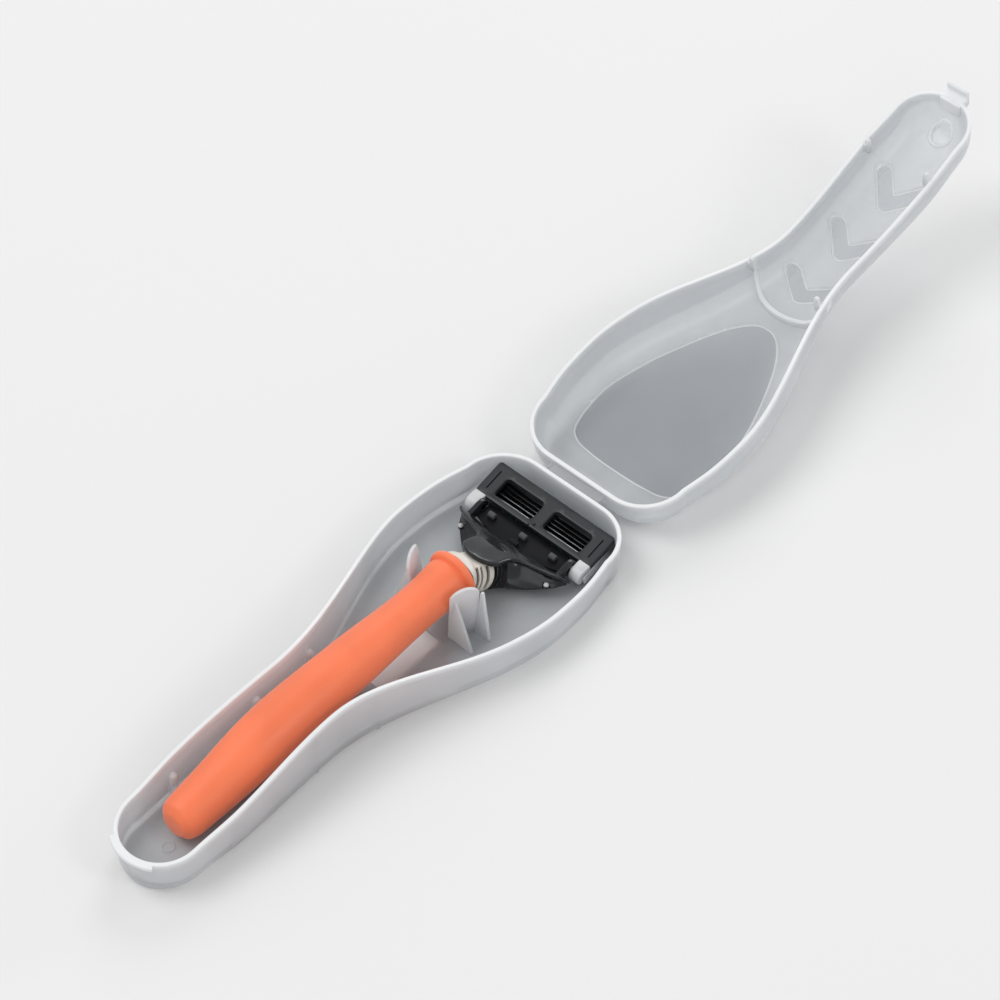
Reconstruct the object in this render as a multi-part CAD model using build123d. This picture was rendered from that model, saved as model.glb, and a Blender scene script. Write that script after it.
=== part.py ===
from build123d import *
import math
import os

os.makedirs("parts", exist_ok=True)

# Everything is in millimetres. A station is a distance from the hinge edge towards the tip.
# The origin lies on the tray's flat underside, below the widest part of the head.

# Plan outline shared by the two shells
shell_length = 170.0
head_station = 37.0
head_half_width = 29.2
shoulder_drop = 2.6
neck_station = 106.0
neck_half_width = 12.4
grip_to_tip = 28.0
grip_half_width = 13.4
tip_radius = 12.7
hinge_corner_radius = 14.5

# Mouth line seen from the side: almost level along the head, highest at the neck
rim_height_hinge = 12.3
rim_height_head = 12.9
rim_height_neck = 19.4
rim_height_tip = 11.6
rim_rise_station = 54.0
parting_gap = 0.3

# Moulded walls
wall = 1.3
floor_thickness = 1.3
draft_degrees = 3.0
tray_bottom_radius = 1.8
tray_inner_radius = 0.8

# Lid dome, as heights above the table when the box is closed
dome_height_hinge = 26.0
dome_height_crest = 32.7
dome_crest_station = 94.0
dome_height_tip = 20.0
dome_edge_radius = 8.2

# Living hinge: a short strap between two fold lines
strap_length = 2.7
strap_width = 19.5
strap_thickness = 0.5
strap_bead_width = 0.8
strap_bead_thickness = 0.8
fold_radius = 0.3
fold_offset = 0.45
open_angle = 169.7

# Opening in the tray floor below the handle
slot_start_station = 58.5
slot_end_station = 82.0
slot_width = 11.4
slot_corner_radius = 1.6

# Clip posts that hold the razor by its waist
post_station = 57.0
post_front_station = 49.5
post_half_gap = 6.3
post_front_half_gap = 10.0
post_height = 21.4
post_crown = 3.0
post_thickness = 1.0
post_lean = 0.13
fin_thickness = 1.0
fin_foot = 14.8
fin_front_foot = 15.3
fin_height = 17.0

# Wall ribs beside the handle, as pairs of distance before the grip's widest place and top height
rib_radius = 1.25
rib_places = ((-1.0, 8.4), (29.0, 12.6), (50.5, 11.0))

# Gate ring moulded on the tray floor near the tip
gate_to_tip = 13.7
gate_radius = 2.0
gate_bore = 1.3
gate_height = 0.35

# Snap catch on the tray tip and the tongue on the lid that grips it
catch_width = 15.0
catch_reach = 1.0
catch_height = 1.4
latch_width = 7.4
latch_thickness = 1.0
latch_clearance = 0.3
latch_undercut = -0.1
latch_bead = 0.5
latch_pad_height = 5.5

# Lid details
relief_depth = 0.45
oval_half_width = 22.6
oval_shape = (
    (13.4, 0.0), (13.7, 0.40), (15.2, 0.73), (20.0, 0.91), (34.0, 1.0),
    (48.0, 0.895), (60.7, 0.704), (72.4, 0.474), (79.6, 0.23), (81.6, 0.0),
)
chevron_shares = ((0.129, 0.193), (0.356, 0.444), (0.605, 0.704))
chevron_reach = 7.4
chevron_arm = 5.0
neck_rib_station = 85.5
neck_rib_radius = 17.8
neck_rib_thickness = 1.5
neck_rib_height = 2.2
boss_to_tip = 6.8
boss_radius = 4.0
boss_bore = 2.9
tab_places = (52.0, -0.5)
tab_length = 1.1
tab_depth = 1.8
tab_reach = 2.0
tab_root = 3.5

# Razor handle: stations, heights of its centre line and radii
butt_to_tip = 16.2
butt_radius = 6.6
belly_station = 121.0
belly_height = 12.4
belly_radius = 8.1
waist_station = 57.0
waist_height = 14.7
waist_radius = 6.45
collar_station = 48.4
collar_height = 15.2
collar_radius = 7.9
collar_width = 2.4
razor_seat_gap = 0.3
core_radius = 3.0
core_inset = 6.0
fit_clearance = 0.05

# Razor neck, button and head
neck_angle = 30.0
neck_height = 13.8
stem_radius = 3.2
stem_root = 3.0
stem_length = 14.0
button_radius = 6.2
button_front_radius = 5.7
button_length = 10.0
button_gap = 0.4
button_travel = 1.5
button_flat = 4.9
button_pocket_radius = 4.3
button_pocket_depth = 3.3
groove_count = 3
groove_width = 1.1
groove_depth = 0.9
yoke_seat = 12.2
yoke_seat_radius = 5.8
cap_length = 6.2
cap_radius = 7.2
cap_half_width = 6.2
cap_station = 33.4
fan_sections = ((31.2, 7.9, 7.4, 4.3, 18.0), (27.0, 7.5, 13.4, 2.9, 8.0))
wing_rear_station = 29.6
yoke_centre_station = 25.8
yoke_wing_station = 23.2
yoke_half_width = 20.2
yoke_rear_half_width = 9.0
yoke_rise = 4.4
wing_drop = 2.0
yoke_split_height = 5.4
ear_half_width = 17.2
ear_thickness = 1.5
pivot_station = 18.9
pivot_height = 6.5
pin_radius = 0.8
pin_length = 4.6
plunger_height = 7.1
plunger_radius = 1.2
plunger_bore = 0.8
plunger_length = 4.2
plunger_travel = 1.0
plunger_gap = 0.4

# Blade cartridge, built flat and then laid at its rest angle
cartridge_station = 16.4
cartridge_height = 7.6
cartridge_pitch = 15.4
cartridge_depth = 11.4
cartridge_half_width = 21.4
cartridge_thickness = 4.8
cartridge_corner_radius = 0.9
cartridge_back = 1.5
cartridge_undercut = 1.6
window_near = 1.6
window_far = 8.3
window_inner = 2.2
window_outer = 15.8
blade_count = 5
blade_pitch = 1.3
blade_first = 2.3
blade_width = 1.9
blade_thickness = 0.2
blade_end_gap = 0.1
blade_tilt = 24.0
cavity_near = 1.3
cavity_far = 8.5
cavity_half_width = 17.6
guard_thickness = 0.6
strip_thickness = 0.5
dock_side_gap = 0.3
dock_thickness = 2.2
dock_gap = 1.3
dock_tab_height = 3.6
dock_tab_width = 3.0
clip_half_width = 21.4
clip_plate = 0.5
clip_depth = 4.4
clip_plate_end = 8.0

draft = math.tan(math.radians(draft_degrees))
grip_station = shell_length - grip_to_tip
butt_station = shell_length - butt_to_tip
neck_rise = rim_height_neck - rim_height_head
headroom = dome_height_crest + 3.0


def tray_x(station):
    return head_station - station


hinge_x = tray_x(0.0)
tip_x = tray_x(shell_length)


def smooth_step(low, high, at_low, at_high, place):
    """Value on an S curve that leaves both ends level."""
    share = min(max((place - low) / (high - low), 0.0), 1.0)
    return at_low + (at_high - at_low) * share * share * (3 - 2 * share)


def half_width(station):
    """Half the outline's width at the mouth, from the head to the tip arc."""
    if station <= neck_station:
        return smooth_step(head_station, neck_station, head_half_width, neck_half_width, station)
    return smooth_step(neck_station, grip_station, neck_half_width, grip_half_width, station)


def mouth_height(station):
    """Height of the tray's rim."""
    if station <= rim_rise_station:
        return smooth_step(0.0, rim_rise_station, rim_height_hinge, rim_height_head, station)
    if station <= neck_station:
        return smooth_step(rim_rise_station, neck_station, rim_height_head, rim_height_neck, station)
    return smooth_step(neck_station, shell_length, rim_height_neck, rim_height_tip, station)


def s_curve(start, end):
    third = (end[0] - start[0]) / 3
    return (start, (start[0] + third, start[1]), (end[0] - third, end[1]), end)


def mirrored(point):
    return (point[0], -point[1])


def outline(inset, neck_change=0.0):
    """Closed plan outline of the shells, moved inwards by inset."""
    radius = hinge_corner_radius - inset
    front = hinge_x - inset
    shoulder = (tray_x(hinge_corner_radius), head_half_width - shoulder_drop - inset)
    flat = shoulder[1] - radius
    widest = (tray_x(head_station), head_half_width - inset)
    waist = (tray_x(neck_station), neck_half_width + neck_change - inset)
    bulge = (tray_x(grip_station), grip_half_width - inset)
    tip_start = (tray_x(shell_length - tip_radius), tip_radius - inset)
    run = widest[0] - shoulder[0]
    leaving = (shoulder[0] + 0.3 * run, shoulder[1] + 0.56 * shoulder_drop)
    cheek = (shoulder, leaving, (widest[0] - 0.55 * run, widest[1]), widest)
    side = [cheek, s_curve(widest, waist), s_curve(waist, bulge), s_curve(bulge, tip_start)]
    lean = math.radians(50)
    corner = (shoulder[0] + radius * math.sin(lean), flat + radius * math.cos(lean))
    edges = [Line((front, -flat), (front, flat))]
    edges.append(ThreePointArc((front, flat), corner, shoulder))
    for curve in side:
        edges.append(Bezier(*curve))
    edges.append(ThreePointArc(tip_start, (tip_start[0] - tip_start[1], 0), mirrored(tip_start)))
    for curve in reversed(side):
        edges.append(Bezier(*[mirrored(point) for point in reversed(curve)]))
    edges.append(ThreePointArc(mirrored(shoulder), mirrored(corner), (front, -flat)))
    return make_face(Wire(edges))


def side_prism(edges, reach=60.0):
    """Solid across the whole width from a closed side profile in x and z."""
    return extrude(Plane.XZ * make_face(Wire(edges)), amount=reach, both=True)


def mouth_prism(gap, upwards):
    """Everything below the mouth line, or everything above it."""
    beyond = 30.0
    end = headroom + beyond if upwards else -beyond
    rise_x = tray_x(rim_rise_station)
    neck_x = tray_x(neck_station)
    heights = (rim_height_hinge, rim_height_head, rim_height_neck, rim_height_tip)
    points = [(x, z + gap) for x, z in zip((hinge_x, rise_x, neck_x, tip_x), heights)]
    near = (hinge_x + beyond, points[0][1])
    far = (tip_x - beyond, points[3][1])
    edges = [Line(near, points[0])]
    edges += [Bezier(*s_curve(start, finish)) for start, finish in zip(points, points[1:])]
    edges += [Line(points[3], far), Line(far, (far[0], end)), Line((far[0], end), (near[0], end))]
    edges.append(Line((near[0], end), near))
    return side_prism(edges)


def tray_solid(inset, low):
    """Drafted tray block from the height low up, before its mouth is cut."""
    high = rim_height_neck + 1.0
    change = -neck_rise * draft
    bottom = Pos(0, 0, low) * outline(inset + (rim_height_head - low) * draft, change)
    top = Pos(0, 0, high) * outline(inset + (rim_height_head - high) * draft, change)
    return loft([bottom, top], ruled=True)


def dome_profile(inset):
    """Side view of the closed lid's top, as a profile from the table up."""
    overhang = 6.0
    slope = (dome_height_crest - dome_height_hinge) / dome_crest_station
    crest = (tray_x(dome_crest_station), dome_height_crest - inset)
    start = (hinge_x + overhang, dome_height_hinge - inset - slope * overhang)
    end = (tip_x - overhang, dome_height_tip - inset)
    run = crest[0] - start[0]
    rise = crest[1] - start[1]
    fall = end[0] - crest[0]
    climb = Bezier(start, (start[0] + 0.55 * run, start[1] + 0.62 * rise), (crest[0] - 0.28 * run, crest[1]), crest)
    drop = Bezier(crest, (crest[0] + 0.42 * fall, crest[1]), (end[0] - 0.27 * fall, end[1] + 10.0), end)
    sides = [Line(end, (end[0], 0)), Line((end[0], 0), (start[0], 0)), Line((start[0], 0), start)]
    return side_prism([climb, drop] + sides)


def dome_solid(inset):
    """Rounded lid block, closed pose, before its mouth is cut."""
    change = neck_rise * draft
    low = 5.0
    bottom = Pos(0, 0, low) * outline(inset + (low - rim_height_head) * draft, change)
    top = Pos(0, 0, headroom) * outline(inset + (headroom - rim_height_head) * draft, change)
    block = loft([bottom, top], ruled=True) & dome_profile(inset)
    rim = [edge for edge in block.edges() if all(vertex.Z > low + 1.0 for vertex in edge.vertices())]
    return fillet(rim, dome_edge_radius - inset)


def both_sides(shape):
    return shape + mirror(shape, about=Plane.XZ)


def clip_post():
    """One post: a leaning plate that meets the waist at an angle, and two fins."""
    foot = Vector(tray_x(post_station), post_half_gap, floor_thickness)
    front = Vector(tray_x(post_front_station), post_front_half_gap, floor_thickness)
    along = (front - foot).normalized()
    width = (front - foot).length
    up = Vector(0, post_lean, 1)
    plane = Plane(origin=foot, x_dir=along, z_dir=along.cross(up))
    sunk = -0.4
    side = post_height - post_crown
    edges = [Line((0, sunk), (width, sunk)), Line((width, sunk), (width, side))]
    edges += [ThreePointArc((width, side), (width / 2, post_height), (0, side)), Line((0, side), (0, sunk))]
    plate = extrude(plane * make_face(Wire(edges)), amount=post_thickness)
    fins = []
    rear_fin = (post_station, post_half_gap, fin_foot)
    front_fin = (post_front_station, post_front_half_gap, fin_front_foot)
    for station, inner, outer in (rear_fin, front_fin):
        step = fin_thickness if station == post_station else 0.0
        low = floor_thickness + sunk
        high = floor_thickness + fin_height
        lean = post_lean * fin_height
        points = [(inner - 0.4, low), (outer, low), (inner + lean + 0.4, high), (inner + lean - 0.4, high)]
        across = Plane(origin=(tray_x(station), 0, 0), x_dir=(0, 1, 0), z_dir=(1, 0, 0))
        face = across * make_face(Polyline(*points, close=True))
        fins.append(extrude(face, amount=step if step else -fin_thickness))
    return plate + fins


def wall_ribs(envelope):
    ribs = []
    for ahead, top in rib_places:
        station = grip_station - ahead
        place = half_width(station) - wall - 0.3
        post = Pos(tray_x(station), place, 0) * Cylinder(rib_radius, top, align=(Align.CENTER, Align.CENTER, Align.MIN))
        ribs.append(post + Pos(tray_x(station), place, top) * Sphere(rib_radius))
    return [both_sides(rib) & envelope for rib in ribs]


def tray_catch():
    """Ledge round the outside of the tray tip that the latch grips."""
    band = outline(-catch_reach) - outline(0.5)
    ledge = extrude(Pos(0, 0, rim_height_tip - catch_height) * band, amount=catch_height)
    window = Pos(tip_x, 0, rim_height_tip) * Box(2 * catch_width, catch_width, 4 * catch_height)
    return ledge & window


def make_tray():
    outer = tray_solid(0.0, 0.0)
    outer = fillet(outer.edges().group_by(Axis.Z)[0], tray_bottom_radius)
    inner = tray_solid(wall, floor_thickness)
    inner = fillet(inner.edges().group_by(Axis.Z)[0], tray_inner_radius)
    shell = (outer - inner) & mouth_prism(0.0, upwards=False)
    shell += wall_ribs(outer)
    shell += both_sides(clip_post())
    shell += tray_catch()
    ring = Cylinder(gate_radius, gate_height + 0.3) - Cylinder(gate_bore, gate_height + 0.3)
    shell += Pos(tray_x(shell_length - gate_to_tip), 0, floor_thickness + gate_height / 2 - 0.15) * ring
    slot_length = slot_end_station - slot_start_station
    slot = extrude(RectangleRounded(slot_length, slot_width, slot_corner_radius), amount=4 * floor_thickness, both=True)
    middle = (slot_start_station + slot_end_station) / 2
    return shell - Pos(tray_x(middle), 0, 0) * slot


def chevron(vertex, end):
    """Plan face of one chevron: two round-ended arms that meet on the middle line."""
    vertex, end = [neck_rib_station + share * (shell_length - neck_rib_station) for share in (vertex, end)]
    start = Vector(tray_x(vertex), 0)
    finish = Vector(tray_x(end), chevron_reach)
    arm = finish - start
    lean = math.degrees(math.atan2(arm.Y, arm.X))
    slot = Rot(0, 0, lean) * SlotCenterToCenter(arm.length, chevron_arm)
    middle = start + arm * 0.5
    upper = Pos(middle.X, middle.Y, 0) * slot
    return upper + mirror(upper, about=Plane.XZ)


def oval_face():
    """Plan face of the clear oval in the lid's head."""
    points = [(tray_x(station), oval_half_width * share) for station, share in oval_shape]
    upper = Spline(*points, tangents=[(0, 1), (0, -1)])
    lower = Spline(*[mirrored(point) for point in reversed(points)], tangents=[(0, -1), (0, 1)])
    return make_face(Wire([upper, lower]))


def neck_rib_face():
    centre = tray_x(neck_rib_station + neck_rib_radius)
    band = Circle(neck_rib_radius) - Circle(neck_rib_radius - neck_rib_thickness)
    return Pos(centre, 0, 0) * band & Pos(centre + neck_rib_radius, 0, 0) * Rectangle(neck_rib_radius, 4 * neck_half_width)


def lid_tabs():
    """Small tabs that stand past the lid's rim and locate it inside the tray."""
    tabs = []
    for ahead in tab_places:
        station = grip_station - ahead
        rim = mouth_height(station)
        inside = half_width(station) - wall - 2 * parting_gap
        align = (Align.CENTER, Align.MAX, Align.MIN)
        lower = Box(tab_length, tab_depth, tab_reach + tab_root, align=align)
        lower = Pos(tray_x(station), inside, rim - tab_reach) * lower
        root = Box(tab_length, tab_depth + wall, tab_root, align=align)
        root = Pos(tray_x(station), inside + wall, rim + 2 * parting_gap) * root
        tabs.append(both_sides(lower + root))
    return tabs


def latch_tongue():
    """Tongue outside the lid tip, with a bead that hooks under the tray's catch."""
    inner_x = tip_x - catch_reach - latch_clearance
    top = rim_height_tip + 4.0
    bead_top = rim_height_tip - catch_height - latch_clearance
    bead_x = inner_x + latch_clearance + latch_undercut
    outer_x = inner_x - latch_thickness
    points = [(tip_x + 0.6, top), (outer_x, top - 1.4), (outer_x, bead_top - latch_bead)]
    points += [(inner_x, bead_top - latch_bead), (bead_x, bead_top - 0.2), (bead_x, bead_top), (inner_x, bead_top)]
    points += [(inner_x, rim_height_tip + parting_gap), (tip_x + 0.6, rim_height_tip + parting_gap)]
    return extrude(Plane.XZ * make_face(Polyline(*points, close=True)), amount=latch_width / 2, both=True)


def make_closed_lid():
    outer = dome_solid(0.0)
    inner = dome_solid(wall)
    above = mouth_prism(parting_gap, upwards=True)
    lid = (outer - inner) & above
    raised = inner - dome_solid(wall + neck_rib_height)
    tall = 2 * headroom
    rib = extrude(neck_rib_face(), amount=tall) & raised & mouth_prism(parting_gap + 1.0, upwards=True)
    boss = Pos(tray_x(shell_length - boss_to_tip), 0, 0) * extrude(Circle(boss_radius) - Circle(boss_bore), amount=tall)
    pad = Box(4 * wall, latch_width, latch_pad_height, align=(Align.CENTER, Align.CENTER, Align.MIN))
    pad = Pos(tip_x, 0, rim_height_tip + parting_gap) * pad
    lid += [rib, boss & raised, pad & inner]
    lid += lid_tabs()
    lid += latch_tongue()
    sunk = dome_solid(wall - relief_depth)
    reliefs = extrude(oval_face(), amount=tall)
    for vertex, end in chevron_shares:
        reliefs += extrude(chevron(vertex, end), amount=tall)
    above_floor = Pos(0, 0, rim_height_neck + 1.5) * Box(400, 80, 60, align=(Align.CENTER, Align.CENTER, Align.MIN))
    return lid - (reliefs & sunk & above_floor)


fold_x = hinge_x + fold_offset
fold_middle = rim_height_hinge + parting_gap / 2
lower_fold = Axis((fold_x, 0, fold_middle - strap_length / 2), (0, 1, 0))
upper_fold = Axis((fold_x, 0, fold_middle + strap_length / 2), (0, 1, 0))


def make_strap():
    """The hinge strap as it stands when the box is closed."""
    plate = Box(strap_thickness, strap_width, strap_length)
    for side in (1, -1):
        place = side * (strap_width - strap_bead_width) / 2
        plate += Pos(0, place, 0) * Box(strap_bead_thickness, strap_bead_width, strap_length - 4 * fold_radius)
        plate += Pos(0, 0, side * strap_length / 2) * Rot(90, 0, 0) * Cylinder(fold_radius, strap_width)
    return Pos(fold_x, 0, fold_middle) * plate


butt_height = floor_thickness + razor_seat_gap + butt_radius
grip_path = (
    (butt_station - 4.6, butt_height, butt_radius - 0.15),
    (grip_station, butt_height + 0.9, butt_radius + 0.3),
    (belly_station, belly_height, belly_radius),
    (
        (belly_station + waist_station) / 2,
        (belly_height + waist_height) / 2 + 0.45,
        (belly_radius + waist_radius) / 2 + 0.15,
    ),
    (waist_station, waist_height, waist_radius),
    (collar_station + 3.0, collar_height - 0.1, waist_radius + 0.35),
)


def grip_circle(station, height, radius):
    return Plane(origin=(tray_x(station), 0, height), x_dir=(0, 1, 0), z_dir=(1, 0, 0)) * Circle(radius)


def make_grip():
    """Soft sleeve: swollen body, bevelled butt and a collar ring at the neck."""
    body = loft([grip_circle(*place) for place in grip_path])
    start = grip_path[0]
    shoulder = grip_circle(butt_station - 1.5, butt_height - 0.1, butt_radius - 1.1)
    end = grip_circle(butt_station, butt_height - 0.1, butt_radius - 2.7)
    butt = loft([grip_circle(*start), shoulder], ruled=True) + loft([shoulder, end], ruled=True)
    front = Plane(origin=(tray_x(collar_station - collar_width / 2), 0, collar_height), z_dir=(1, 0, 0))
    collar = front * Pos(0, 0, -collar_width / 2) * Cylinder(collar_radius, collar_width)
    collar = fillet(collar.edges(), 0.75)
    last = grip_path[-1]
    throat = loft([grip_circle(*last), grip_circle(collar_station, collar_height, last[2] - 0.3)], ruled=True)
    grip = body + butt + throat + collar
    grip -= core_rod(fit_clearance, 0.2)
    bore = stem_plane(-stem_root - fit_clearance) * extrude(Circle(stem_radius + fit_clearance), amount=stem_root + 3.0)
    return grip - bore


def stem_plane(distance):
    """Plane across the razor's neck axis, distance past the collar's front face."""
    lean = math.radians(neck_angle)
    direction = Vector(math.cos(lean), 0, -math.sin(lean))
    base = Vector(tray_x(collar_station - collar_width / 2), 0, neck_height)
    return Plane(origin=base + direction * distance, x_dir=(0, 1, 0), z_dir=direction)


def core_rod(grow, longer):
    start = Vector(tray_x(butt_station - core_inset), 0, butt_height + 0.9)
    end = Vector(tray_x(collar_station + 7.5), 0, collar_height - 0.6)
    direction = (end - start).normalized()
    plane = Plane(origin=start - direction * longer, x_dir=(0, 1, 0), z_dir=direction)
    return extrude(plane * Circle(core_radius + grow), amount=(end - start).length + 2 * longer)


def make_stem():
    return stem_plane(-stem_root) * extrude(Circle(stem_radius), amount=stem_length + stem_root)


def above_axis(rise, start, length):
    """Block over the neck, from a flat at one rise above the axis; start and length run along it."""
    align = (Align.CENTER, Align.MIN, Align.MIN)
    return stem_plane(start) * Pos(0, rise, 0) * Box(4 * cap_radius, 2 * cap_radius, length, align=align)


def make_button():
    """Ribbed sleeve that slides along the stem, flat where the head's cap covers it."""
    bore = stem_radius + fit_clearance
    pitch = button_length / (groove_count + 0.75)
    slope = (button_front_radius - button_radius) / button_length
    points = [(bore, -button_radius), (button_radius, -button_radius)]
    for count in range(groove_count):
        start = (count + 0.6) * pitch
        skin = button_radius + slope * start
        floor = skin - groove_depth
        end = start + groove_width
        points += [(skin, start), (floor, start + 0.1), (floor, end - 0.1), (skin, end)]
    points += [(button_front_radius, button_length - 0.3), (button_front_radius - 0.3, button_length)]
    pocket = button_length - button_pocket_depth
    points += [(button_pocket_radius, button_length), (button_pocket_radius, pocket), (bore, pocket)]
    profile = Plane.XZ * make_face(Polyline(*points, close=True))
    sleeve = stem_plane(button_gap) * revolve(profile, Axis.Z)
    face = tray_x(collar_station - collar_width / 2) + button_gap
    sleeve &= Pos(face, 0, 0) * Box(40, 40, 60, align=(Align.MIN, Align.CENTER, Align.CENTER))
    covered = yoke_seat - cap_length - button_travel - parting_gap
    return sleeve - above_axis(button_flat, covered, 2 * button_length)


def make_spring(coil_radius, wire_width, length, turns):
    """Square wire coil that stands on its plane, along +Z."""
    path = Helix(pitch=length / turns, height=length, radius=coil_radius)
    section = Plane(origin=path @ 0, x_dir=(1, 0, 0), z_dir=path % 0) * Rectangle(wire_width, wire_width)
    return sweep(section, path=path, is_frenet=True)


def make_button_spring():
    """Return spring at its shortest length, standing on the yoke's seat."""
    return stem_plane(yoke_seat - 0.25) * Rot(180, 0, 0) * make_spring(3.8, 0.4, 3.0, 3)


def make_cap():
    """Roof of the head that reaches back over the button."""
    start = yoke_seat - cap_length
    roof = stem_plane(start) * extrude(Circle(cap_radius), amount=cap_length + 4.0)
    roof &= above_axis(button_flat + parting_gap, start, cap_length + 4.0)
    end = Pos(tray_x(cap_station), 0, 0) * (Circle(cap_half_width) + Pos(10, 0) * Rectangle(20, 2 * cap_half_width))
    roof &= extrude(end, amount=40)
    return fillet(roof.edges().filter_by(GeomType.LINE, reverse=True).group_by(Axis.X)[0], 0.3)


def fan_section(station, height, half_width_here, half_height, lean):
    """Oval across the head, leaning with the neck."""
    slope = math.radians(lean)
    plane = Plane(origin=(tray_x(station), 0, height), x_dir=(0, 1, 0), z_dir=(math.cos(slope), 0, -math.sin(slope)))
    return plane * Ellipse(half_width_here, half_height)


def make_yoke_block():
    """Fan-shaped head: a neck that flattens forwards, its wings and ears, and the cap."""
    seat = stem_plane(yoke_seat) * Circle(yoke_seat_radius)
    fan = loft([seat] + [fan_section(*values) for values in fan_sections], ruled=True)
    rear = (tray_x(wing_rear_station), yoke_rear_half_width)
    wing_rear = (tray_x(yoke_wing_station + 1.6), yoke_half_width - 0.4)
    wing_front = (tray_x(yoke_wing_station - 0.6), yoke_half_width)
    ear_outer = (tray_x(pivot_station) + 1.7, ear_half_width)
    ear_inner = (ear_outer[0], ear_half_width - ear_thickness)
    arc_end = (tray_x(yoke_wing_station - 1.0), ear_half_width - ear_thickness)
    step = (wing_front[0], ear_half_width)
    centre = (tray_x(yoke_centre_station), 0)
    flare = (rear, (rear[0] + 1.6, rear[1] + 2.2), (wing_rear[0] - 2.2, wing_rear[1] - 4.5), wing_rear)
    chain = [wing_rear, wing_front, step, ear_outer, ear_inner, arc_end]
    edges = [Line(mirrored(rear), rear), Bezier(*flare)]
    edges += [Line(start, end) for start, end in zip(chain, chain[1:])]
    edges.append(ThreePointArc(arc_end, centre, mirrored(arc_end)))
    edges += [Line(mirrored(end), mirrored(start)) for start, end in reversed(list(zip(chain, chain[1:])))]
    edges.append(Bezier(*[mirrored(point) for point in reversed(flare)]))
    plan = extrude(make_face(Wire(edges)), amount=2 * headroom)
    crest = pivot_height + yoke_rise
    wing_x = tray_x(yoke_wing_station)
    middle = ((rear[0] + wing_x) / 2, crest - 1.1)
    top = [(rear[0], crest), middle, (wing_x, crest - 2.4), (ear_outer[0], pivot_height + 1.5)]
    bottom = [(ear_outer[0], pivot_height - 1.6), (wing_x, pivot_height - 2.1), (rear[0], pivot_height - 2.6)]
    sides = [Spline(*top), Line(top[-1], bottom[0]), Spline(*bottom), Line(bottom[-1], top[0])]
    span = yoke_half_width + 0.6
    tip = (span, crest - 1.1 * wing_drop)
    front = [(0, crest + 0.2), (0.3 * span, crest), (0.6 * span, crest - 0.45 * wing_drop), tip]
    curve = Spline(*front, tangents=[(1, 0), (1, -0.3)])
    other = Spline(*[(-y, z) for y, z in reversed(front)], tangents=[(1, 0.3), (1, 0)])
    foot = [(span, pivot_height - 1.2), (0, pivot_height - 3.0), (-span, pivot_height - 1.2)]
    loop = [other, curve, Line(tip, foot[0]), ThreePointArc(*foot), Line(foot[-1], (-tip[0], tip[1]))]
    face = Plane(origin=(rear[0] - 1.0, 0, 0), x_dir=(0, 1, 0), z_dir=(1, 0, 0)) * make_face(Wire(loop))
    wings = plan & side_prism(sides) & extrude(face, amount=40)
    ahead = (arc_end[0] + cartridge_depth, arc_end[1])
    opening = [ThreePointArc(arc_end, centre, mirrored(arc_end)), Line(mirrored(arc_end), mirrored(ahead))]
    opening += [Line(mirrored(ahead), ahead), Line(ahead, arc_end)]
    block = fan - extrude(make_face(Wire(opening)), amount=2 * headroom) + wings + make_cap()
    block -= make_stem_bore()
    return block - pivot_pins(fit_clearance, 0.4)


def make_stem_bore():
    return stem_plane(2.0) * extrude(Circle(stem_radius + fit_clearance), amount=stem_length - 2.0 + fit_clearance)


def pivot_pins(grow, longer):
    pins = []
    for side in (1, -1):
        start = side * (ear_half_width - ear_thickness - longer / 2)
        plane = Plane(origin=(tray_x(pivot_station), start, pivot_height), x_dir=(1, 0, 0), z_dir=(0, side, 0))
        pins.append(extrude(plane * Circle(pin_radius + grow), amount=pin_length + longer))
    return pins


def plunger_plane(station):
    return Plane(origin=(tray_x(station), 0, plunger_height), x_dir=(0, 1, 0), z_dir=(1, 0, 0))


plunger_tip_station = yoke_centre_station - dock_gap + plunger_gap
plunger_rear_station = plunger_tip_station + plunger_length
plunger_bore_station = plunger_rear_station + plunger_travel + 0.3


def make_plunger():
    """Cup that presses on the dock's tab and hides its spring."""
    rod = plunger_plane(plunger_rear_station) * extrude(Circle(plunger_radius), amount=plunger_length)
    rod = fillet(rod.edges().group_by(Axis.X)[-1], 0.5)
    return rod - plunger_plane(plunger_rear_station) * extrude(Circle(plunger_bore), amount=plunger_length - 1.2)


def make_plunger_spring():
    """Spring at its shortest length, from the end of the yoke's bore into the cup."""
    return plunger_plane(plunger_bore_station - 0.15) * make_spring(0.55, 0.2, 2.9, 4)


def make_yoke():
    """Upper and lower halves of the head, parted at one height."""
    block = make_yoke_block()
    cut = plunger_plane(plunger_bore_station) * extrude(Circle(plunger_radius + fit_clearance), amount=20)
    split = Pos(0, 0, yoke_split_height) * Box(200, 100, 60, align=(Align.CENTER, Align.CENTER, Align.MIN))
    upper = (block & split) - cut
    lower = block & Pos(0, 0, -60.0 - fit_clearance) * split
    return upper, lower


cartridge_plane = Plane(
    origin=(tray_x(cartridge_station), 0, cartridge_height),
    x_dir=(math.cos(math.radians(cartridge_pitch)), 0, math.sin(math.radians(cartridge_pitch))),
    z_dir=(-math.sin(math.radians(cartridge_pitch)), 0, math.cos(math.radians(cartridge_pitch))),
)


def slab(near, far, left, right, low, high):
    return Pos((near + far) / 2, (left + right) / 2, (low + high) / 2) * Box(far - near, right - left, high - low)


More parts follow.
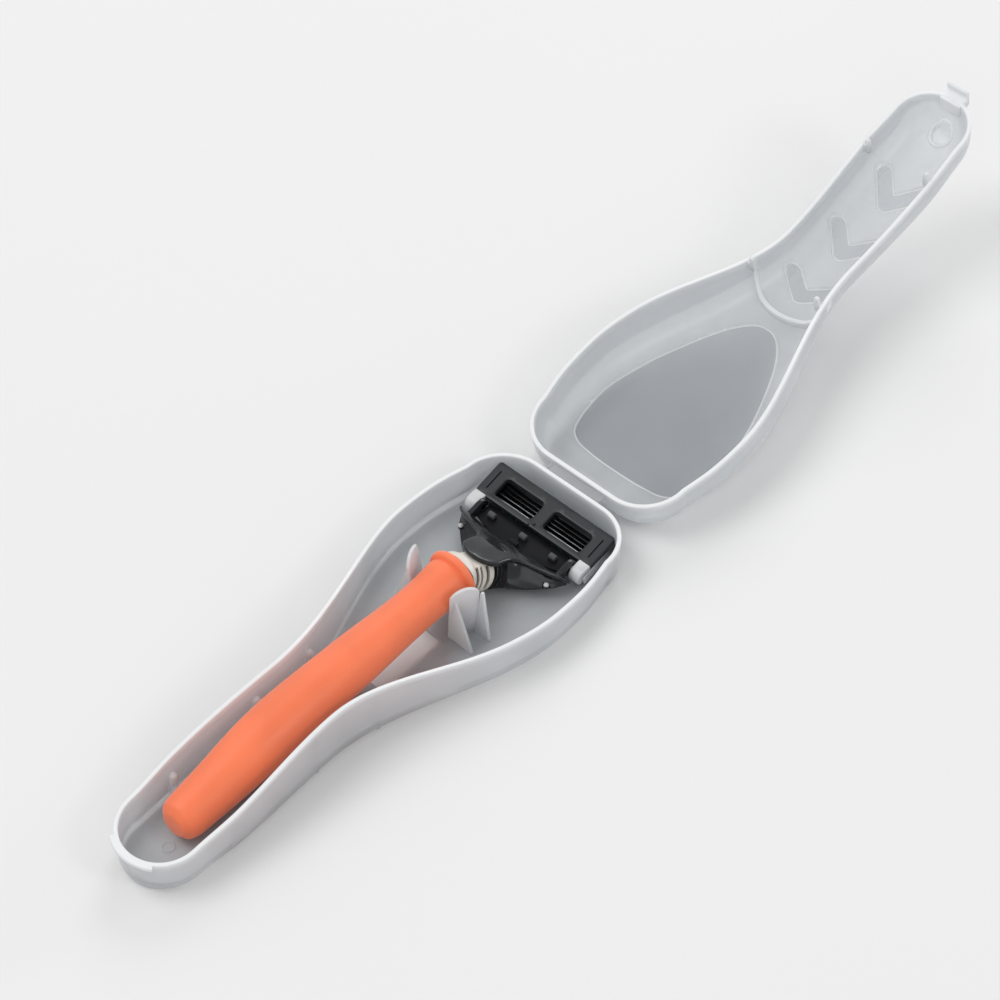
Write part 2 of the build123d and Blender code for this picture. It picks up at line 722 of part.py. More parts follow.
def make_cartridge_frame():
    depth = cartridge_depth
    width = cartridge_half_width
    low = -cartridge_thickness
    section = [(0, low), (depth - cartridge_undercut, low), (depth, -cartridge_back), (depth, 0), (0, 0)]
    body = extrude(Plane.XZ * make_face(Polyline(*section, close=True)), amount=width, both=True)
    ends = [edge for edge in body.edges() if abs(edge.tangent_at(0.5).Z) > 0.8]
    body = fillet(ends, cartridge_corner_radius)
    body = chamfer(body.faces().sort_by(Axis.Z)[-1].edges(), 0.35)
    body -= slab(cavity_near, cavity_far, -cavity_half_width, cavity_half_width, low - 1, -cartridge_back)
    for side in (1, -1):
        middle = side * (window_inner + window_outer) / 2
        opening = Box(window_far - window_near, window_outer - window_inner, 3 * cartridge_back)
        opening = fillet(opening.edges().filter_by(Axis.Z), 0.6)
        body -= Pos((window_near + window_far) / 2, middle, 0) * opening
    return cartridge_plane * body


def make_blade(index):
    place = blade_first + index * blade_pitch
    height = (cartridge_thickness + cartridge_back) / 2
    blade = Box(blade_thickness, 2 * (cavity_half_width - blade_end_gap), blade_width)
    blade = chamfer(blade.edges().group_by(Axis.Z)[0].filter_by(Axis.Y), blade_thickness * 0.45)
    return cartridge_plane * Pos(place, 0, -height) * Rot(0, blade_tilt, 0) * blade


def make_guard():
    low = -cartridge_thickness - guard_thickness
    bar = slab(0.1, cavity_near, -cavity_half_width, cavity_half_width, low + 0.25, -cartridge_thickness)
    for place in (0.25, 0.65, 1.05):
        bar += slab(place - 0.1, place + 0.1, -cavity_half_width, cavity_half_width, low, low + 0.3)
    return cartridge_plane * bar


def make_strip():
    low = -cartridge_thickness - strip_thickness
    far = cartridge_depth - cartridge_undercut - 0.1
    strip = slab(cavity_far, far, -cavity_half_width, cavity_half_width, low, -cartridge_thickness)
    return cartridge_plane * fillet(strip.edges().filter_by(Axis.Y).group_by(Axis.Z)[0], 0.2)


def make_dock():
    """Bar behind the cartridge that follows the head's hollow front edge."""
    rear = tray_x(yoke_centre_station) + dock_gap
    side = tray_x(yoke_wing_station) + dock_gap
    front = tray_x(cartridge_station) + 3.0
    half = ear_half_width - ear_thickness - dock_side_gap
    corners = [(side, -half), (front, -half), (front, half), (side, half)]
    edges = [Line(start, end) for start, end in zip(corners, corners[1:])]
    edges.append(ThreePointArc((side, half), (rear, 0), (side, -half)))
    low = pivot_height - 1.4
    plate = Pos(0, 0, low) * extrude(make_face(Wire(edges)), amount=dock_thickness)
    plate -= cartridge_plane * slab(0, 40, -60, 60, -40, 40)
    for place in (11.0, -11.0):
        share = (abs(place) + 1.2) / half
        plate += Pos(rear + (side - rear) * share * share + 0.8, place, low + dock_thickness) * Box(1.6, 2.4, 1.0)
    top = pivot_height + dock_tab_height
    align = (Align.MIN, Align.CENTER, Align.MAX)
    return plate + Pos(rear, 0, top) * Box(1.4, dock_tab_width, top - low, align=align)


def make_clip(side):
    """Bright clip at one end of the cartridge, with the eye for its pivot pin."""
    inner = ear_half_width + 0.25
    block = slab(-clip_depth, 0, inner, clip_half_width, -3.6, -0.6)
    block = fillet(block.edges().filter_by(Axis.Y).group_by(Axis.X)[0], 0.9)
    plate = slab(-clip_depth + 1.0, clip_plate_end, clip_half_width, clip_half_width + clip_plate, -3.6, -0.9)
    clip = cartridge_plane * (block + plate)
    eye = Plane(origin=(tray_x(pivot_station), inner - 1, pivot_height), x_dir=(1, 0, 0), z_dir=(0, 1, 0))
    clip -= extrude(eye * Circle(pin_radius + fit_clearance), amount=pin_length)
    return clip if side > 0 else mirror(clip, about=Plane.XZ)


def opened(shape, with_lid_fold):
    """Turn a shape from its closed pose to the pose in which the box lies open."""
    if with_lid_fold:
        shape = shape.rotate(upper_fold, open_angle / 2)
    return shape.rotate(lower_fold, open_angle / 2)


def save(name, shape):
    solids = shape.solids()
    export_step(solids[0] if len(solids) == 1 else Compound(solids), f"parts/{name}.step")


save("base_tray", make_tray())
save("hinge_strap", opened(make_strap(), False))
save("lid_shell", opened(make_closed_lid(), True))
save("grip_sleeve", make_grip())
save("handle_core", core_rod(0.0, 0.0))
save("neck_stem", make_stem())
save("release_button", make_button())
save("button_spring", make_button_spring())
upper_yoke, lower_yoke = make_yoke()
save("head_yoke", upper_yoke)
save("yoke_underplate", lower_yoke)
save("return_plunger", make_plunger())
save("plunger_spring", make_plunger_spring())
left_pin, right_pin = pivot_pins(0.0, 0.0)
save("pivot_pin_left", left_pin)
save("pivot_pin_right", right_pin)
save("cartridge_frame", make_cartridge_frame())
save("cartridge_dock", make_dock())
save("guard_fins", make_guard())
save("lubricating_strip", make_strip())
save("end_clip_left", make_clip(1))
save("end_clip_right", make_clip(-1))
for index in range(blade_count):
    save(f"blade_{index + 1}", make_blade(index))
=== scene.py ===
"""A shaver storage box lying open on a pale floor, with a razor in its tray."""

import math

import bmesh
import bpy
import numpy as np
from bpy.props import FloatProperty, FloatVectorProperty, PointerProperty
from mathutils import Matrix, Vector
from mathutils.geometry import delaunay_2d_cdt


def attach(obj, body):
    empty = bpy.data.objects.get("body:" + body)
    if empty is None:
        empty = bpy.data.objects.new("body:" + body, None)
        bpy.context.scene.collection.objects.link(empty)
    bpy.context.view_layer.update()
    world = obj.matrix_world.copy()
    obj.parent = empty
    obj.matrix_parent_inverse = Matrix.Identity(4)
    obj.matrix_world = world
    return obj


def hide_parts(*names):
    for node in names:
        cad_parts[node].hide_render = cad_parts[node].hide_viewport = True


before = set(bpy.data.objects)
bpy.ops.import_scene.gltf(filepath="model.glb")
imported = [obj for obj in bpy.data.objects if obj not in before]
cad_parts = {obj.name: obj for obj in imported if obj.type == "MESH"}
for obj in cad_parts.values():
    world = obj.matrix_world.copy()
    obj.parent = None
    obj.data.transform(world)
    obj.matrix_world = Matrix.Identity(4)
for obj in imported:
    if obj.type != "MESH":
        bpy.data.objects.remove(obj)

bl_info = {
    "name": "Shaver storage box",
    "version": (1, 0, 0),
    "blender": (4, 5, 0),
    "location": "View3D > Sidebar > Shaver box",
    "description": "Builds an open travel case with its razor around the packed frame",
    "category": "Add Mesh",
}

MM = 0.001
QUARTER = math.pi / 2
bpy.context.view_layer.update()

# Plan outline of the shells, in millimetres from the hinge edge towards the tip
SHELL_LENGTH = 170.0
HEAD_STATION = 37.0
HEAD_HALF_WIDTH = 29.2
SHOULDER_DROP = 2.6
NECK_STATION = 106.0
NECK_HALF_WIDTH = 12.4
GRIP_STATION = 142.0
GRIP_HALF_WIDTH = 13.4
TIP_RADIUS = 12.7
CORNER_RADIUS = 14.5

# Samples along the outline's hinge edge, corner, sides and tip
HINGE_STEPS = 12
CORNER_STEPS = 36
SIDE_STEPS = (22, 70, 34, 16)
TIP_STEPS = 37

# Mouth line and walls
RIM_HINGE = 12.3
RIM_HEAD = 12.9
RIM_NECK = 19.4
RIM_TIP = 11.6
RISE_STATION = 54.0
PARTING_GAP = 0.3
DRAFT = math.tan(math.radians(3.0))
NECK_CHANGE = (RIM_NECK - RIM_HEAD) * DRAFT
WALL = 1.3
FLOOR = 1.3
RIM_ROUND = 0.35
BOTTOM_RADIUS = 1.8
INNER_RADIUS = 0.8

# Lid dome, closed
DOME_HINGE = 26.0
DOME_CREST = 32.7
DOME_CREST_STATION = 94.0
DOME_TIP = 20.0
DOME_RADIUS = 8.2
DOME_OVERRUN = 6.0

# Hinge
FOLD_X = 37.45
FOLD_MIDDLE = RIM_HINGE + PARTING_GAP / 2
STRAP_LENGTH = 2.7
HALF_OPEN = math.radians(169.7 / 2)


def tray_x(station):
    return HEAD_STATION - station


HINGE_X = tray_x(0.0)
TIP_X = tray_x(SHELL_LENGTH)
TIP_CENTRE_X = TIP_X + TIP_RADIUS
SHOULDER_X = tray_x(CORNER_RADIUS)
CORNER_FLAT = HEAD_HALF_WIDTH - SHOULDER_DROP - CORNER_RADIUS


def columns(*values):
    """Points from their coordinates; a single number is repeated."""
    return np.stack(np.broadcast_arrays(*values), -1)


def full_turn(count):
    """Angles of one turn in equal steps."""
    return np.linspace(0, 2 * math.pi, count, endpoint=False)


def bezier(points, share):
    """Point or points of a cubic at each share of its parameter."""
    a, b, c, d = (np.array(point, float) for point in points)
    t = np.asarray(share, float)[..., None]
    return (1 - t) ** 3 * a + 3 * t * (1 - t) ** 2 * b + 3 * t * t * (1 - t) * c + t ** 3 * d


def s_curve(start, end):
    third = (end[0] - start[0]) / 3
    return [start, (start[0] + third, start[1]), (end[0] - third, end[1]), end]


def smooth_step(low, high, at_low, at_high, place):
    share = np.clip((np.asarray(place, float) - low) / (high - low), 0.0, 1.0)
    return at_low + (at_high - at_low) * share * share * (3 - 2 * share)


def mouth(x):
    """Height of the tray's rim at x."""
    station = HEAD_STATION - np.asarray(x, float)
    head = smooth_step(0.0, RISE_STATION, RIM_HINGE, RIM_HEAD, station)
    rise = smooth_step(RISE_STATION, NECK_STATION, RIM_HEAD, RIM_NECK, station)
    fall = smooth_step(NECK_STATION, SHELL_LENGTH, RIM_NECK, RIM_TIP, station)
    return np.where(station < RISE_STATION, head, np.where(station < NECK_STATION, rise, fall))


def half_outline(inset, change):
    """Right half of the plan outline, from the hinge's middle to the tip."""
    radius = CORNER_RADIUS - inset
    shoulder = (SHOULDER_X, HEAD_HALF_WIDTH - SHOULDER_DROP - inset)
    widest = (tray_x(HEAD_STATION), HEAD_HALF_WIDTH - inset)
    waist = (tray_x(NECK_STATION), NECK_HALF_WIDTH + change - inset)
    bulge = (tray_x(GRIP_STATION), GRIP_HALF_WIDTH - inset)
    tip = TIP_RADIUS - inset
    run = widest[0] - shoulder[0]
    leaving = (shoulder[0] + 0.3 * run, shoulder[1] + 0.56 * SHOULDER_DROP)
    cheek = [shoulder, leaving, (widest[0] - 0.55 * run, widest[1]), widest]
    across = np.linspace(0, CORNER_FLAT, HINGE_STEPS, endpoint=False)
    corner = np.linspace(0, QUARTER, CORNER_STEPS, endpoint=False)
    end = np.linspace(0, QUARTER, TIP_STEPS)
    pieces = [
        columns(HINGE_X - inset, across),
        columns(SHOULDER_X + radius * np.cos(corner), CORNER_FLAT + radius * np.sin(corner)),
    ]
    sides = (cheek, s_curve(widest, waist), s_curve(waist, bulge), s_curve(bulge, (TIP_CENTRE_X, tip)))
    for curve, count in zip(sides, SIDE_STEPS):
        pieces.append(bezier(curve, np.linspace(0, 1, count, endpoint=False)))
    pieces.append(columns(TIP_CENTRE_X - tip * np.sin(end), tip * np.cos(end)))
    return np.concatenate(pieces)


def ring_parts(change):
    """Outline at no inset and the direction in which each of its points moves inwards."""
    def whole(inset):
        half = half_outline(inset, change)
        return np.concatenate([half, half[1:-1][::-1] * (1, -1)])
    base = whole(0.0)
    return base, whole(1.0) - base


TRAY_RING = ring_parts(-NECK_CHANGE)
LID_RING = ring_parts(NECK_CHANGE)
LID_SIDE = half_outline(0.0, NECK_CHANGE)[HINGE_STEPS + CORNER_STEPS:-TIP_STEPS]


def lid_inset(x, y):
    """How far a plan point lies inside the lid's outline, in the outline's own measure."""
    x = np.asarray(x, float)
    y = np.abs(np.asarray(y, float))
    side = np.interp(-x, -LID_SIDE[:, 0], LID_SIDE[:, 1]) - y
    round_corner = CORNER_RADIUS - np.hypot(x - SHOULDER_X, y - CORNER_FLAT)
    corner = np.where(y > CORNER_FLAT, round_corner, HINGE_X - x)
    tip = TIP_RADIUS - np.hypot(x - TIP_CENTRE_X, y)
    return np.where(x > SHOULDER_X, corner, np.where(x < TIP_CENTRE_X, tip, side))


def dome_curve():
    """Side view of the dome's top, from beyond the tip to beyond the hinge."""
    slope = (DOME_CREST - DOME_HINGE) / DOME_CREST_STATION
    crest = (tray_x(DOME_CREST_STATION), DOME_CREST)
    start = (HINGE_X + DOME_OVERRUN, DOME_HINGE - slope * DOME_OVERRUN)
    end = (TIP_X - DOME_OVERRUN, DOME_TIP)
    run = crest[0] - start[0]
    rise = crest[1] - start[1]
    fall = end[0] - crest[0]
    share = np.linspace(0, 1, 300)
    leaving = (start[0] + 0.55 * run, start[1] + 0.62 * rise)
    climb = bezier([start, leaving, (crest[0] - 0.28 * run, crest[1]), crest], share)
    meeting = (end[0] - 0.27 * fall, end[1] + 10.0)
    drop = bezier([crest, (crest[0] + 0.42 * fall, crest[1]), meeting, end], share)
    return np.concatenate([climb, drop[1:]])[::-1]


DOME_LINE = dome_curve()


def dome(x):
    return np.interp(x, DOME_LINE[:, 0], DOME_LINE[:, 1])


def dome_surface(x, y, depth):
    """Height of the dome's face that lies depth inside its outer skin."""
    radius = DOME_RADIUS - depth
    top = dome(x) - depth
    inside = lid_inset(x, y) - depth - (top - radius - RIM_HEAD) * DRAFT
    reach = radius - np.clip(inside, 0.0, radius)
    return top - radius + np.sqrt(np.maximum(radius * radius - reach * reach, 0.0))


def tidy_normals(obj, sharp=35.0):
    """Weld the mesh and make it smooth except at edges sharper than the angle."""
    work = bmesh.new()
    work.from_mesh(obj.data)
    bmesh.ops.remove_doubles(work, verts=work.verts, dist=0.000002)
    bmesh.ops.recalc_face_normals(work, faces=work.faces)
    work.to_mesh(obj.data)
    work.free()
    obj.data.polygons.foreach_set("use_smooth", [True] * len(obj.data.polygons))
    obj.data.set_sharp_from_angle(angle=math.radians(sharp))
    obj.data.update()


class Build:
    """Collects points, in millimetres, and faces of one mesh."""

    def __init__(self):
        self.points = []
        self.faces = []

    def add(self, points):
        start = sum(len(block) for block in self.points)
        self.points.append(np.asarray(points, float).reshape(-1, 3))
        return start

    def rings(self, rows, closed=True):
        """Quads between rings of equal length."""
        count = len(rows[0])
        starts = [self.add(row) for row in rows]
        last = count if closed else count - 1
        for low, high in zip(starts, starts[1:]):
            for i in range(last):
                j = (i + 1) % count
                self.faces.append((low + i, low + j, high + j, high + i))
        return starts

    def cap(self, start, count):
        self.faces.append(tuple(range(start, start + count)))

    def tube(self, rows):
        """Rings with a face over the first and the last."""
        starts = self.rings(rows)
        self.cap(starts[0], len(rows[0]))
        self.cap(starts[-1], len(rows[0]))

    def bar(self, rows):
        """Open rows that close on each other, with a face over either end."""
        starts = self.rings(rows + rows[:1], closed=False)
        for place in (0, len(rows[0]) - 1):
            self.faces.append(tuple(start + place for start in starts[:-1]))

    def patch(self, points, faces):
        start = self.add(points)
        self.faces += [tuple(start + i for i in face) for face in faces]

    def solid(self, name, sharp=35.0):
        mesh = bpy.data.meshes.new(name)
        points = (np.concatenate(self.points) * MM).tolist()
        mesh.from_pydata(points, [], [list(map(int, face)) for face in self.faces])
        mesh.validate()
        obj = bpy.data.objects.new(name, mesh)
        bpy.context.scene.collection.objects.link(obj)
        tidy_normals(obj, sharp)
        return obj


def within(points, loop):
    """Which plan points lie inside a closed loop."""
    x, y = points[:, 0], points[:, 1]
    found = np.zeros(len(points), bool)
    for (ax, ay), (bx, by) in zip(loop, np.roll(loop, -1, axis=0)):
        if ay == by:
            continue
        crosses = (ay > y) != (by > y)
        found ^= crosses & (x < ax + (y - ay) * (bx - ax) / (by - ay))
    return found


def outside(points, faces, holes):
    """The faces whose middle lies in none of the holes."""
    for hole in holes:
        centres = np.array([points[list(face)].mean(0) for face in faces])
        gone = within(centres, np.asarray(hole)[:, :2])
        faces = [face for face, inside in zip(faces, gone) if not inside]
    return faces


def fill_plan(loops, holes, extra, height):
    """Triangles over a plan region: closed loops are kept as edges, holes left open."""
    points = []
    edges = []
    for loop in loops + holes:
        start = len(points)
        points += [tuple(p) for p in np.asarray(loop)[:, :2]]
        edges += [(start + i, start + (i + 1) % len(loop)) for i in range(len(loop))]
    points += [tuple(p) for p in np.asarray(extra).reshape(-1, 2)]
    out = delaunay_2d_cdt([Vector(p) for p in points], edges, [], 1, 1e-5)
    flat = np.array([tuple(v) for v in out[0]])
    x, y = flat.T
    return columns(x, y, height(x, y)), outside(flat, out[2], holes)


def level(height):
    """Height function of a flat face."""
    return lambda x, y: np.full(len(x), height)


def at_height(loop, height):
    return columns(loop[:, 0], loop[:, 1], height)


def drafted(ring, up, inset, height):
    """Ring of a leaning wall; up is 1 if it widens upwards and -1 if it narrows upwards."""
    base, step = ring
    inset = np.broadcast_to(up * (RIM_HEAD - height) * DRAFT + inset, len(base))
    return at_height(base + step * inset[:, None], height)


def wall_rows(ring, up, rim, outer, inner, count):
    """Rings from the wall's outer start to the rounded rim and back to its inner start."""
    crown = rim - up * RIM_ROUND
    shares = np.linspace(0, 1, count)[1:-1]
    arc = np.linspace(0, QUARTER, 5)
    rows = [drafted(ring, up, 0.0, outer + (crown - outer) * share) for share in shares]
    for angles, start, way in ((arc, 0.0, 1), (arc[::-1], WALL, -1)):
        for a in angles:
            inset = start + way * RIM_ROUND * (1 - math.cos(a))
            rows.append(drafted(ring, up, inset, crown + up * RIM_ROUND * math.sin(a)))
    return rows + [drafted(ring, up, WALL, inner + (crown - inner) * share) for share in shares[::-1]]


def rounded_loop(length, width, radius, centre, count=8):
    loop = []
    for quarter, (sx, sy) in enumerate(((1, 1), (-1, 1), (-1, -1), (1, -1))):
        for k in range(count + 1):
            angle = QUARTER * (quarter + k / count)
            x = centre[0] + sx * (length / 2 - radius) + radius * math.cos(angle)
            y = centre[1] + sy * (width / 2 - radius) + radius * math.sin(angle)
            loop.append((x, y))
    return np.array(loop)


def circle_loop(x, y, radius, count=48):
    angle = full_turn(count)
    return columns(x + radius * np.cos(angle), y + radius * np.sin(angle))


def offset_loop(loop, distance):
    """Closed plan loop moved outwards, or inwards for a negative distance."""
    ahead = np.roll(loop, -1, axis=0) - np.roll(loop, 1, axis=0)
    normal = columns(ahead[:, 1], -ahead[:, 0])
    normal /= np.maximum(np.linalg.norm(normal, axis=1), 1e-9)[:, None]
    area = np.sum(loop[:, 0] * np.roll(loop[:, 1], -1) - np.roll(loop[:, 0], -1) * loop[:, 1])
    return loop + normal * distance * math.copysign(1.0, area)


def smooth_curve(points, count, closed=True):
    """Curve through the points, with count samples from point to point."""
    p = np.asarray(points, float)
    out = []
    for i in range(len(p) if closed else len(p) - 1):
        near = np.arange(i - 1, i + 3)
        near = near % len(p) if closed else np.clip(near, 0, len(p) - 1)
        a, b, c, d = p[near]
        square = 2 * a - 5 * b + 4 * c - d
        cube = 3 * b - a - 3 * c + d
        for t in np.linspace(0, 1, count, endpoint=False):
            out.append(0.5 * (2 * b + (c - a) * t + square * t * t + cube * t ** 3))
    return np.array(out)


def through_points(places, values, at):
    """Smooth curve through a few values: cubic pieces with slopes from the neighbours."""
    places, values = np.asarray(places, float), np.asarray(values, float)
    slopes = np.gradient(values, places)
    at = np.asarray(at, float)
    i = np.clip(np.searchsorted(places, at) - 1, 0, len(places) - 2)
    run = places[i + 1] - places[i]
    t = (at - places[i]) / run
    low, high = values[i], values[i + 1]
    return (low * (1 + 2 * t) * (1 - t) ** 2 + high * t * t * (3 - 2 * t)
            + slopes[i] * run * t * (1 - t) ** 2 + slopes[i + 1] * run * t * t * (t - 1))


def inner_grid(ring, pitch, loops):
    """Grid of plan points inside a ring, kept off its edge and off other loops."""
    low, high = ring.min(0), ring.max(0)
    reach = 60 * pitch
    xs, ys = np.meshgrid(np.arange(low[0], high[0], pitch), np.arange(-reach, reach + 0.1, pitch))
    points = columns(xs.ravel(), ys.ravel())
    points = points[within(points, offset_loop(ring[:, :2], -0.45 * pitch))]
    return away_from(points, loops, 0.45 * pitch)


def away_from(points, loops, distance):
    """The points that keep their distance from every loop's points."""
    keep = np.ones(len(points), bool)
    for loop in loops:
        low, high = loop.min(0) - distance, loop.max(0) + distance
        near = np.where(np.all((points > low) & (points < high), axis=1))[0]
        if len(near):
            gap = np.linalg.norm(points[near][:, None] - loop[None], axis=2).min(1)
            keep[near[gap < distance]] = False
    return points[keep]


def make_modifier(obj, kind, **values):
    change = obj.modifiers.new(kind.lower(), kind)
    for key, value in values.items():
        setattr(change, key, value)
    return change


def bake(obj):
    """Turn the modifiers into plain mesh."""
    graph = bpy.context.evaluated_depsgraph_get()
    mesh = bpy.data.meshes.new_from_object(obj.evaluated_get(graph))
    obj.modifiers.clear()
    old = obj.data
    obj.data = mesh
    mesh.name = obj.name
    bpy.data.meshes.remove(old)


def prism(name, loop, depth, bevel=0.15, segments=2):
    """Closed solid from a 3-D polygon pushed along a vector, with its edges eased."""
    loop = np.asarray(loop, float)
    b = Build()
    b.tube([loop, loop + np.asarray(depth, float)])
    obj = b.solid(name, 30.0)
    limit = {"limit_method": "ANGLE", "angle_limit": math.radians(40)}
    make_modifier(obj, "BEVEL", width=bevel * MM, segments=segments, **limit)
    bake(obj)
    tidy_normals(obj, 40.0)
    return obj


def extrude(name, profile, start, width, bevel=0.15, segments=2):
    """Solid from a side view, given as x and z, pushed across from a start."""
    return prism(name, [(x, start, z) for x, z in profile], (0, width, 0), bevel, segments)


def round_post(name, x, y, radius, low, high, count=24):
    """Upright round rib with a domed top."""
    crown = [(radius * math.cos(a), high + radius * math.sin(a)) for a in np.linspace(0, QUARTER, 7)[1:-1]]
    rows = [(radius, low), (radius, high)] + crown
    b = Build()
    b.tube([at_height(circle_loop(x, y, r, count), z) for r, z in rows])
    return b.solid(name)


def join(objects, name):
    """One object from several, each kept as its own closed shell."""
    work = bmesh.new()
    for obj in objects:
        work.from_mesh(obj.data)
        bpy.data.objects.remove(obj)
    mesh = bpy.data.meshes.new(name)
    work.to_mesh(mesh)
    work.free()
    made = bpy.data.objects.new(name, mesh)
    bpy.context.scene.collection.objects.link(made)
    return made


def combined(operation, obj, tool, sharp, **values):
    """Object after an exact boolean with a tool, which is used up."""
    make_modifier(obj, "BOOLEAN", operation=operation, solver="EXACT", object=tool, **values)
    bake(obj)
    bpy.data.objects.remove(tool)
    tidy_normals(obj, sharp)
    return obj


def united(shell, fittings, name, sharp=35.0):
    """Union of a shell and its moulded fittings."""
    made = combined("UNION", shell, join(fittings, name + "_tool"), sharp, use_self=True)
    made.name = name
    return made


def mark(obj, name, values):
    """Store a number on each point of a piece for its material."""
    layer = obj.data.attributes.new(name, "FLOAT", "POINT")
    layer.data.foreach_set("value", np.asarray(values, np.float32))


def points_of(obj):
    flat = np.empty(len(obj.data.vertices) * 3)
    obj.data.vertices.foreach_get("co", flat)
    return flat.reshape(-1, 3) / MM


# How much painted highlight the places of the two shells get: marked places are whitened and made milkier
HIGHLIGHT_POSTS = 0.55
HIGHLIGHT_WALLS = 0.18
HIGHLIGHT_RIBS = 0.7
HIGHLIGHT_NECK_RIB = 0.8
HIGHLIGHT_TABS = 0.75
HIGHLIGHT_BOSS = 0.7
HIGHLIGHT_LINES = 0.5
RIM_HIGHLIGHT_REACH = 2.6


def rim_highlight(z, rim):
    """Painted highlight: one on the rim's crown, fading to nothing a little way down the wall."""
    return np.clip(1 - np.abs(z - rim) / RIM_HIGHLIGHT_REACH, 0.0, 1.0)


# Slot through the tray's floor: from, to, width and corner radius; its edge is eased
SLOT = (58.5, 82.0, 11.4, 1.6)
SLOT_EASE = 0.2


def tray_skin():
    """Floor, wall and rounded rim of the tray."""
    foot = FLOOR + INNER_RADIUS
    rows = []
    for a in np.linspace(0, QUARTER, 7):
        inset = BOTTOM_RADIUS * (1 - math.sin(a))
        rows.append(drafted(TRAY_RING, 1, inset, BOTTOM_RADIUS * (1 - math.cos(a))))
    rows += wall_rows(TRAY_RING, 1, mouth(TRAY_RING[0][:, 0]), BOTTOM_RADIUS, foot, 9)
    for a in np.linspace(0, QUARTER, 6):
        inset = WALL + INNER_RADIUS * (1 - math.cos(a))
        rows.append(drafted(TRAY_RING, 1, inset, foot - INNER_RADIUS * math.sin(a)))
    b = Build()
    b.rings(rows)
    near, far, width, radius = SLOT
    slot = rounded_loop(far - near, width, radius, (tray_x((near + far) / 2), 0.0))
    wide = offset_loop(slot, SLOT_EASE)
    for ring, height in ((rows[-1], FLOOR), (rows[0], 0.0)):
        b.patch(*fill_plan([ring], [wide], [], level(height)))
    levels = [(wide, FLOOR), (slot, FLOOR - SLOT_EASE), (slot, SLOT_EASE), (wide, 0.0)]
    b.rings([at_height(loop, z) for loop, z in levels])
    return b.solid("tray_shell")


# Clip posts: station and half gap of the plate's two ends, its size and lean, and the fins' feet and heights
POST_FOOT = (57.0, 6.3)
POST_FRONT = (49.5, 10.0)
POST_HEIGHT = 21.4
POST_CROWN = 3.0
POST_THICKNESS = 1.0
POST_LEAN = 0.13
POST_REGION = (53.3, 4.6)
FIN_FEET = (14.8, 15.3)
FIN_HEIGHTS = (16.6, 18.2)
ROOT = 0.4


def post_pieces(side):
    """Plate and two fins of one clip post; side is 1 or -1."""
    foot = np.array([tray_x(POST_FOOT[0]), POST_FOOT[1], FLOOR])
    front = np.array([tray_x(POST_FRONT[0]), POST_FRONT[1], FLOOR])
    width = np.linalg.norm(front - foot)
    along = (front - foot) / width
    up = np.array([0, POST_LEAN, 1.0])
    inward = np.cross(along, up)
    inward /= np.linalg.norm(inward)
    up = np.cross(inward, along)
    radius = (width * width / 4 + POST_CROWN ** 2) / (2 * POST_CROWN)
    outline = [(0.0, -ROOT), (width, -ROOT)]
    half = math.asin(min(1.0, width / 2 / radius))
    for a in np.linspace(half, -half, 17):
        outline.append((width / 2 + radius * math.sin(a), POST_HEIGHT - radius + radius * math.cos(a)))
    plate = np.array([foot + along * u + up * v for u, v in outline])
    pieces = [(plate, inward * POST_THICKNESS)]
    fins = zip((POST_FOOT, POST_FRONT), FIN_FEET, FIN_HEIGHTS, (1.0, -1.0))
    for (station, inner), outer, high, step in fins:
        lean = POST_LEAN * high
        low = FLOOR - ROOT
        top = FLOOR + high
        profile = [(inner - 0.3, low), (outer, low), (outer - 0.12, low + 1.0)]
        profile += [(inner + lean + 0.5, top), (inner + lean - 0.3, top)]
        pieces.append((np.array([(tray_x(station), y, z) for y, z in profile]), np.array([step, 0, 0])))
    return [prism("post", loop * (1, side, 1), depth * (1, side, 1), 0.18) for loop, depth in pieces]


# Wall ribs: stations and heights
RIBS = ((143.0, 8.4), (113.0, 12.6), (91.5, 11.0))
RIB_RADIUS = 1.25
RIB_INSET = 0.8


def half_width(station):
    """Half width of the mouth between the head and the grip's bulge."""
    if station <= NECK_STATION:
        return float(smooth_step(HEAD_STATION, NECK_STATION, HEAD_HALF_WIDTH, NECK_HALF_WIDTH, station))
    return float(smooth_step(NECK_STATION, GRIP_STATION, NECK_HALF_WIDTH, GRIP_HALF_WIDTH, station))


def rib_place(station):
    """Distance of a rib's centre from the middle line, so that it stays inside the leaning wall."""
    return half_width(station) - WALL - RIB_INSET


# Mark of the mould's gate: radii, and heights over the floor
GATE_STATION = 156.3
GATE_SECTION = ((1.3, -0.2), (2.0, -0.2), (2.0, 0.2), (1.85, 0.35), (1.45, 0.35), (1.3, 0.2))

# Ledge round the tip, whose section is given as inset and height
CATCH_HALF_WIDTH = 7.6
CATCH_LOW = RIM_TIP - 1.4
CATCH_HIGH = RIM_TIP - 0.02
CATCH_SECTION = (
    (0.5, CATCH_LOW), (-0.75, CATCH_LOW), (-1.0, CATCH_LOW + 0.25),
    (-1.0, CATCH_HIGH - 0.25), (-0.75, CATCH_HIGH), (0.5, CATCH_HIGH),
)


def tray_fittings():
    """Clip posts, wall ribs, gate ring and catch of the tray."""
    pieces = post_pieces(1) + post_pieces(-1)
    for station, top in RIBS:
        for side in (1, -1):
            y = side * rib_place(station)
            pieces.append(round_post("rib", tray_x(station), y, RIB_RADIUS, FLOOR - ROOT, top))
    gate = Build()
    rows = [at_height(circle_loop(tray_x(GATE_STATION), 0.0, r, 40), FLOOR + z) for r, z in GATE_SECTION]
    gate.rings(rows + rows[:1])
    pieces.append(gate.solid("gate"))
    base, step = TRAY_RING
    chosen = np.where((base[:, 0] < TIP_CENTRE_X) & (np.abs(base[:, 1]) < CATCH_HALF_WIDTH))[0]
    catch = Build()
    catch.bar([at_height(base[chosen] + step[chosen] * inset, z) for inset, z in CATCH_SECTION])
    pieces.append(catch.solid("catch"))
    return pieces


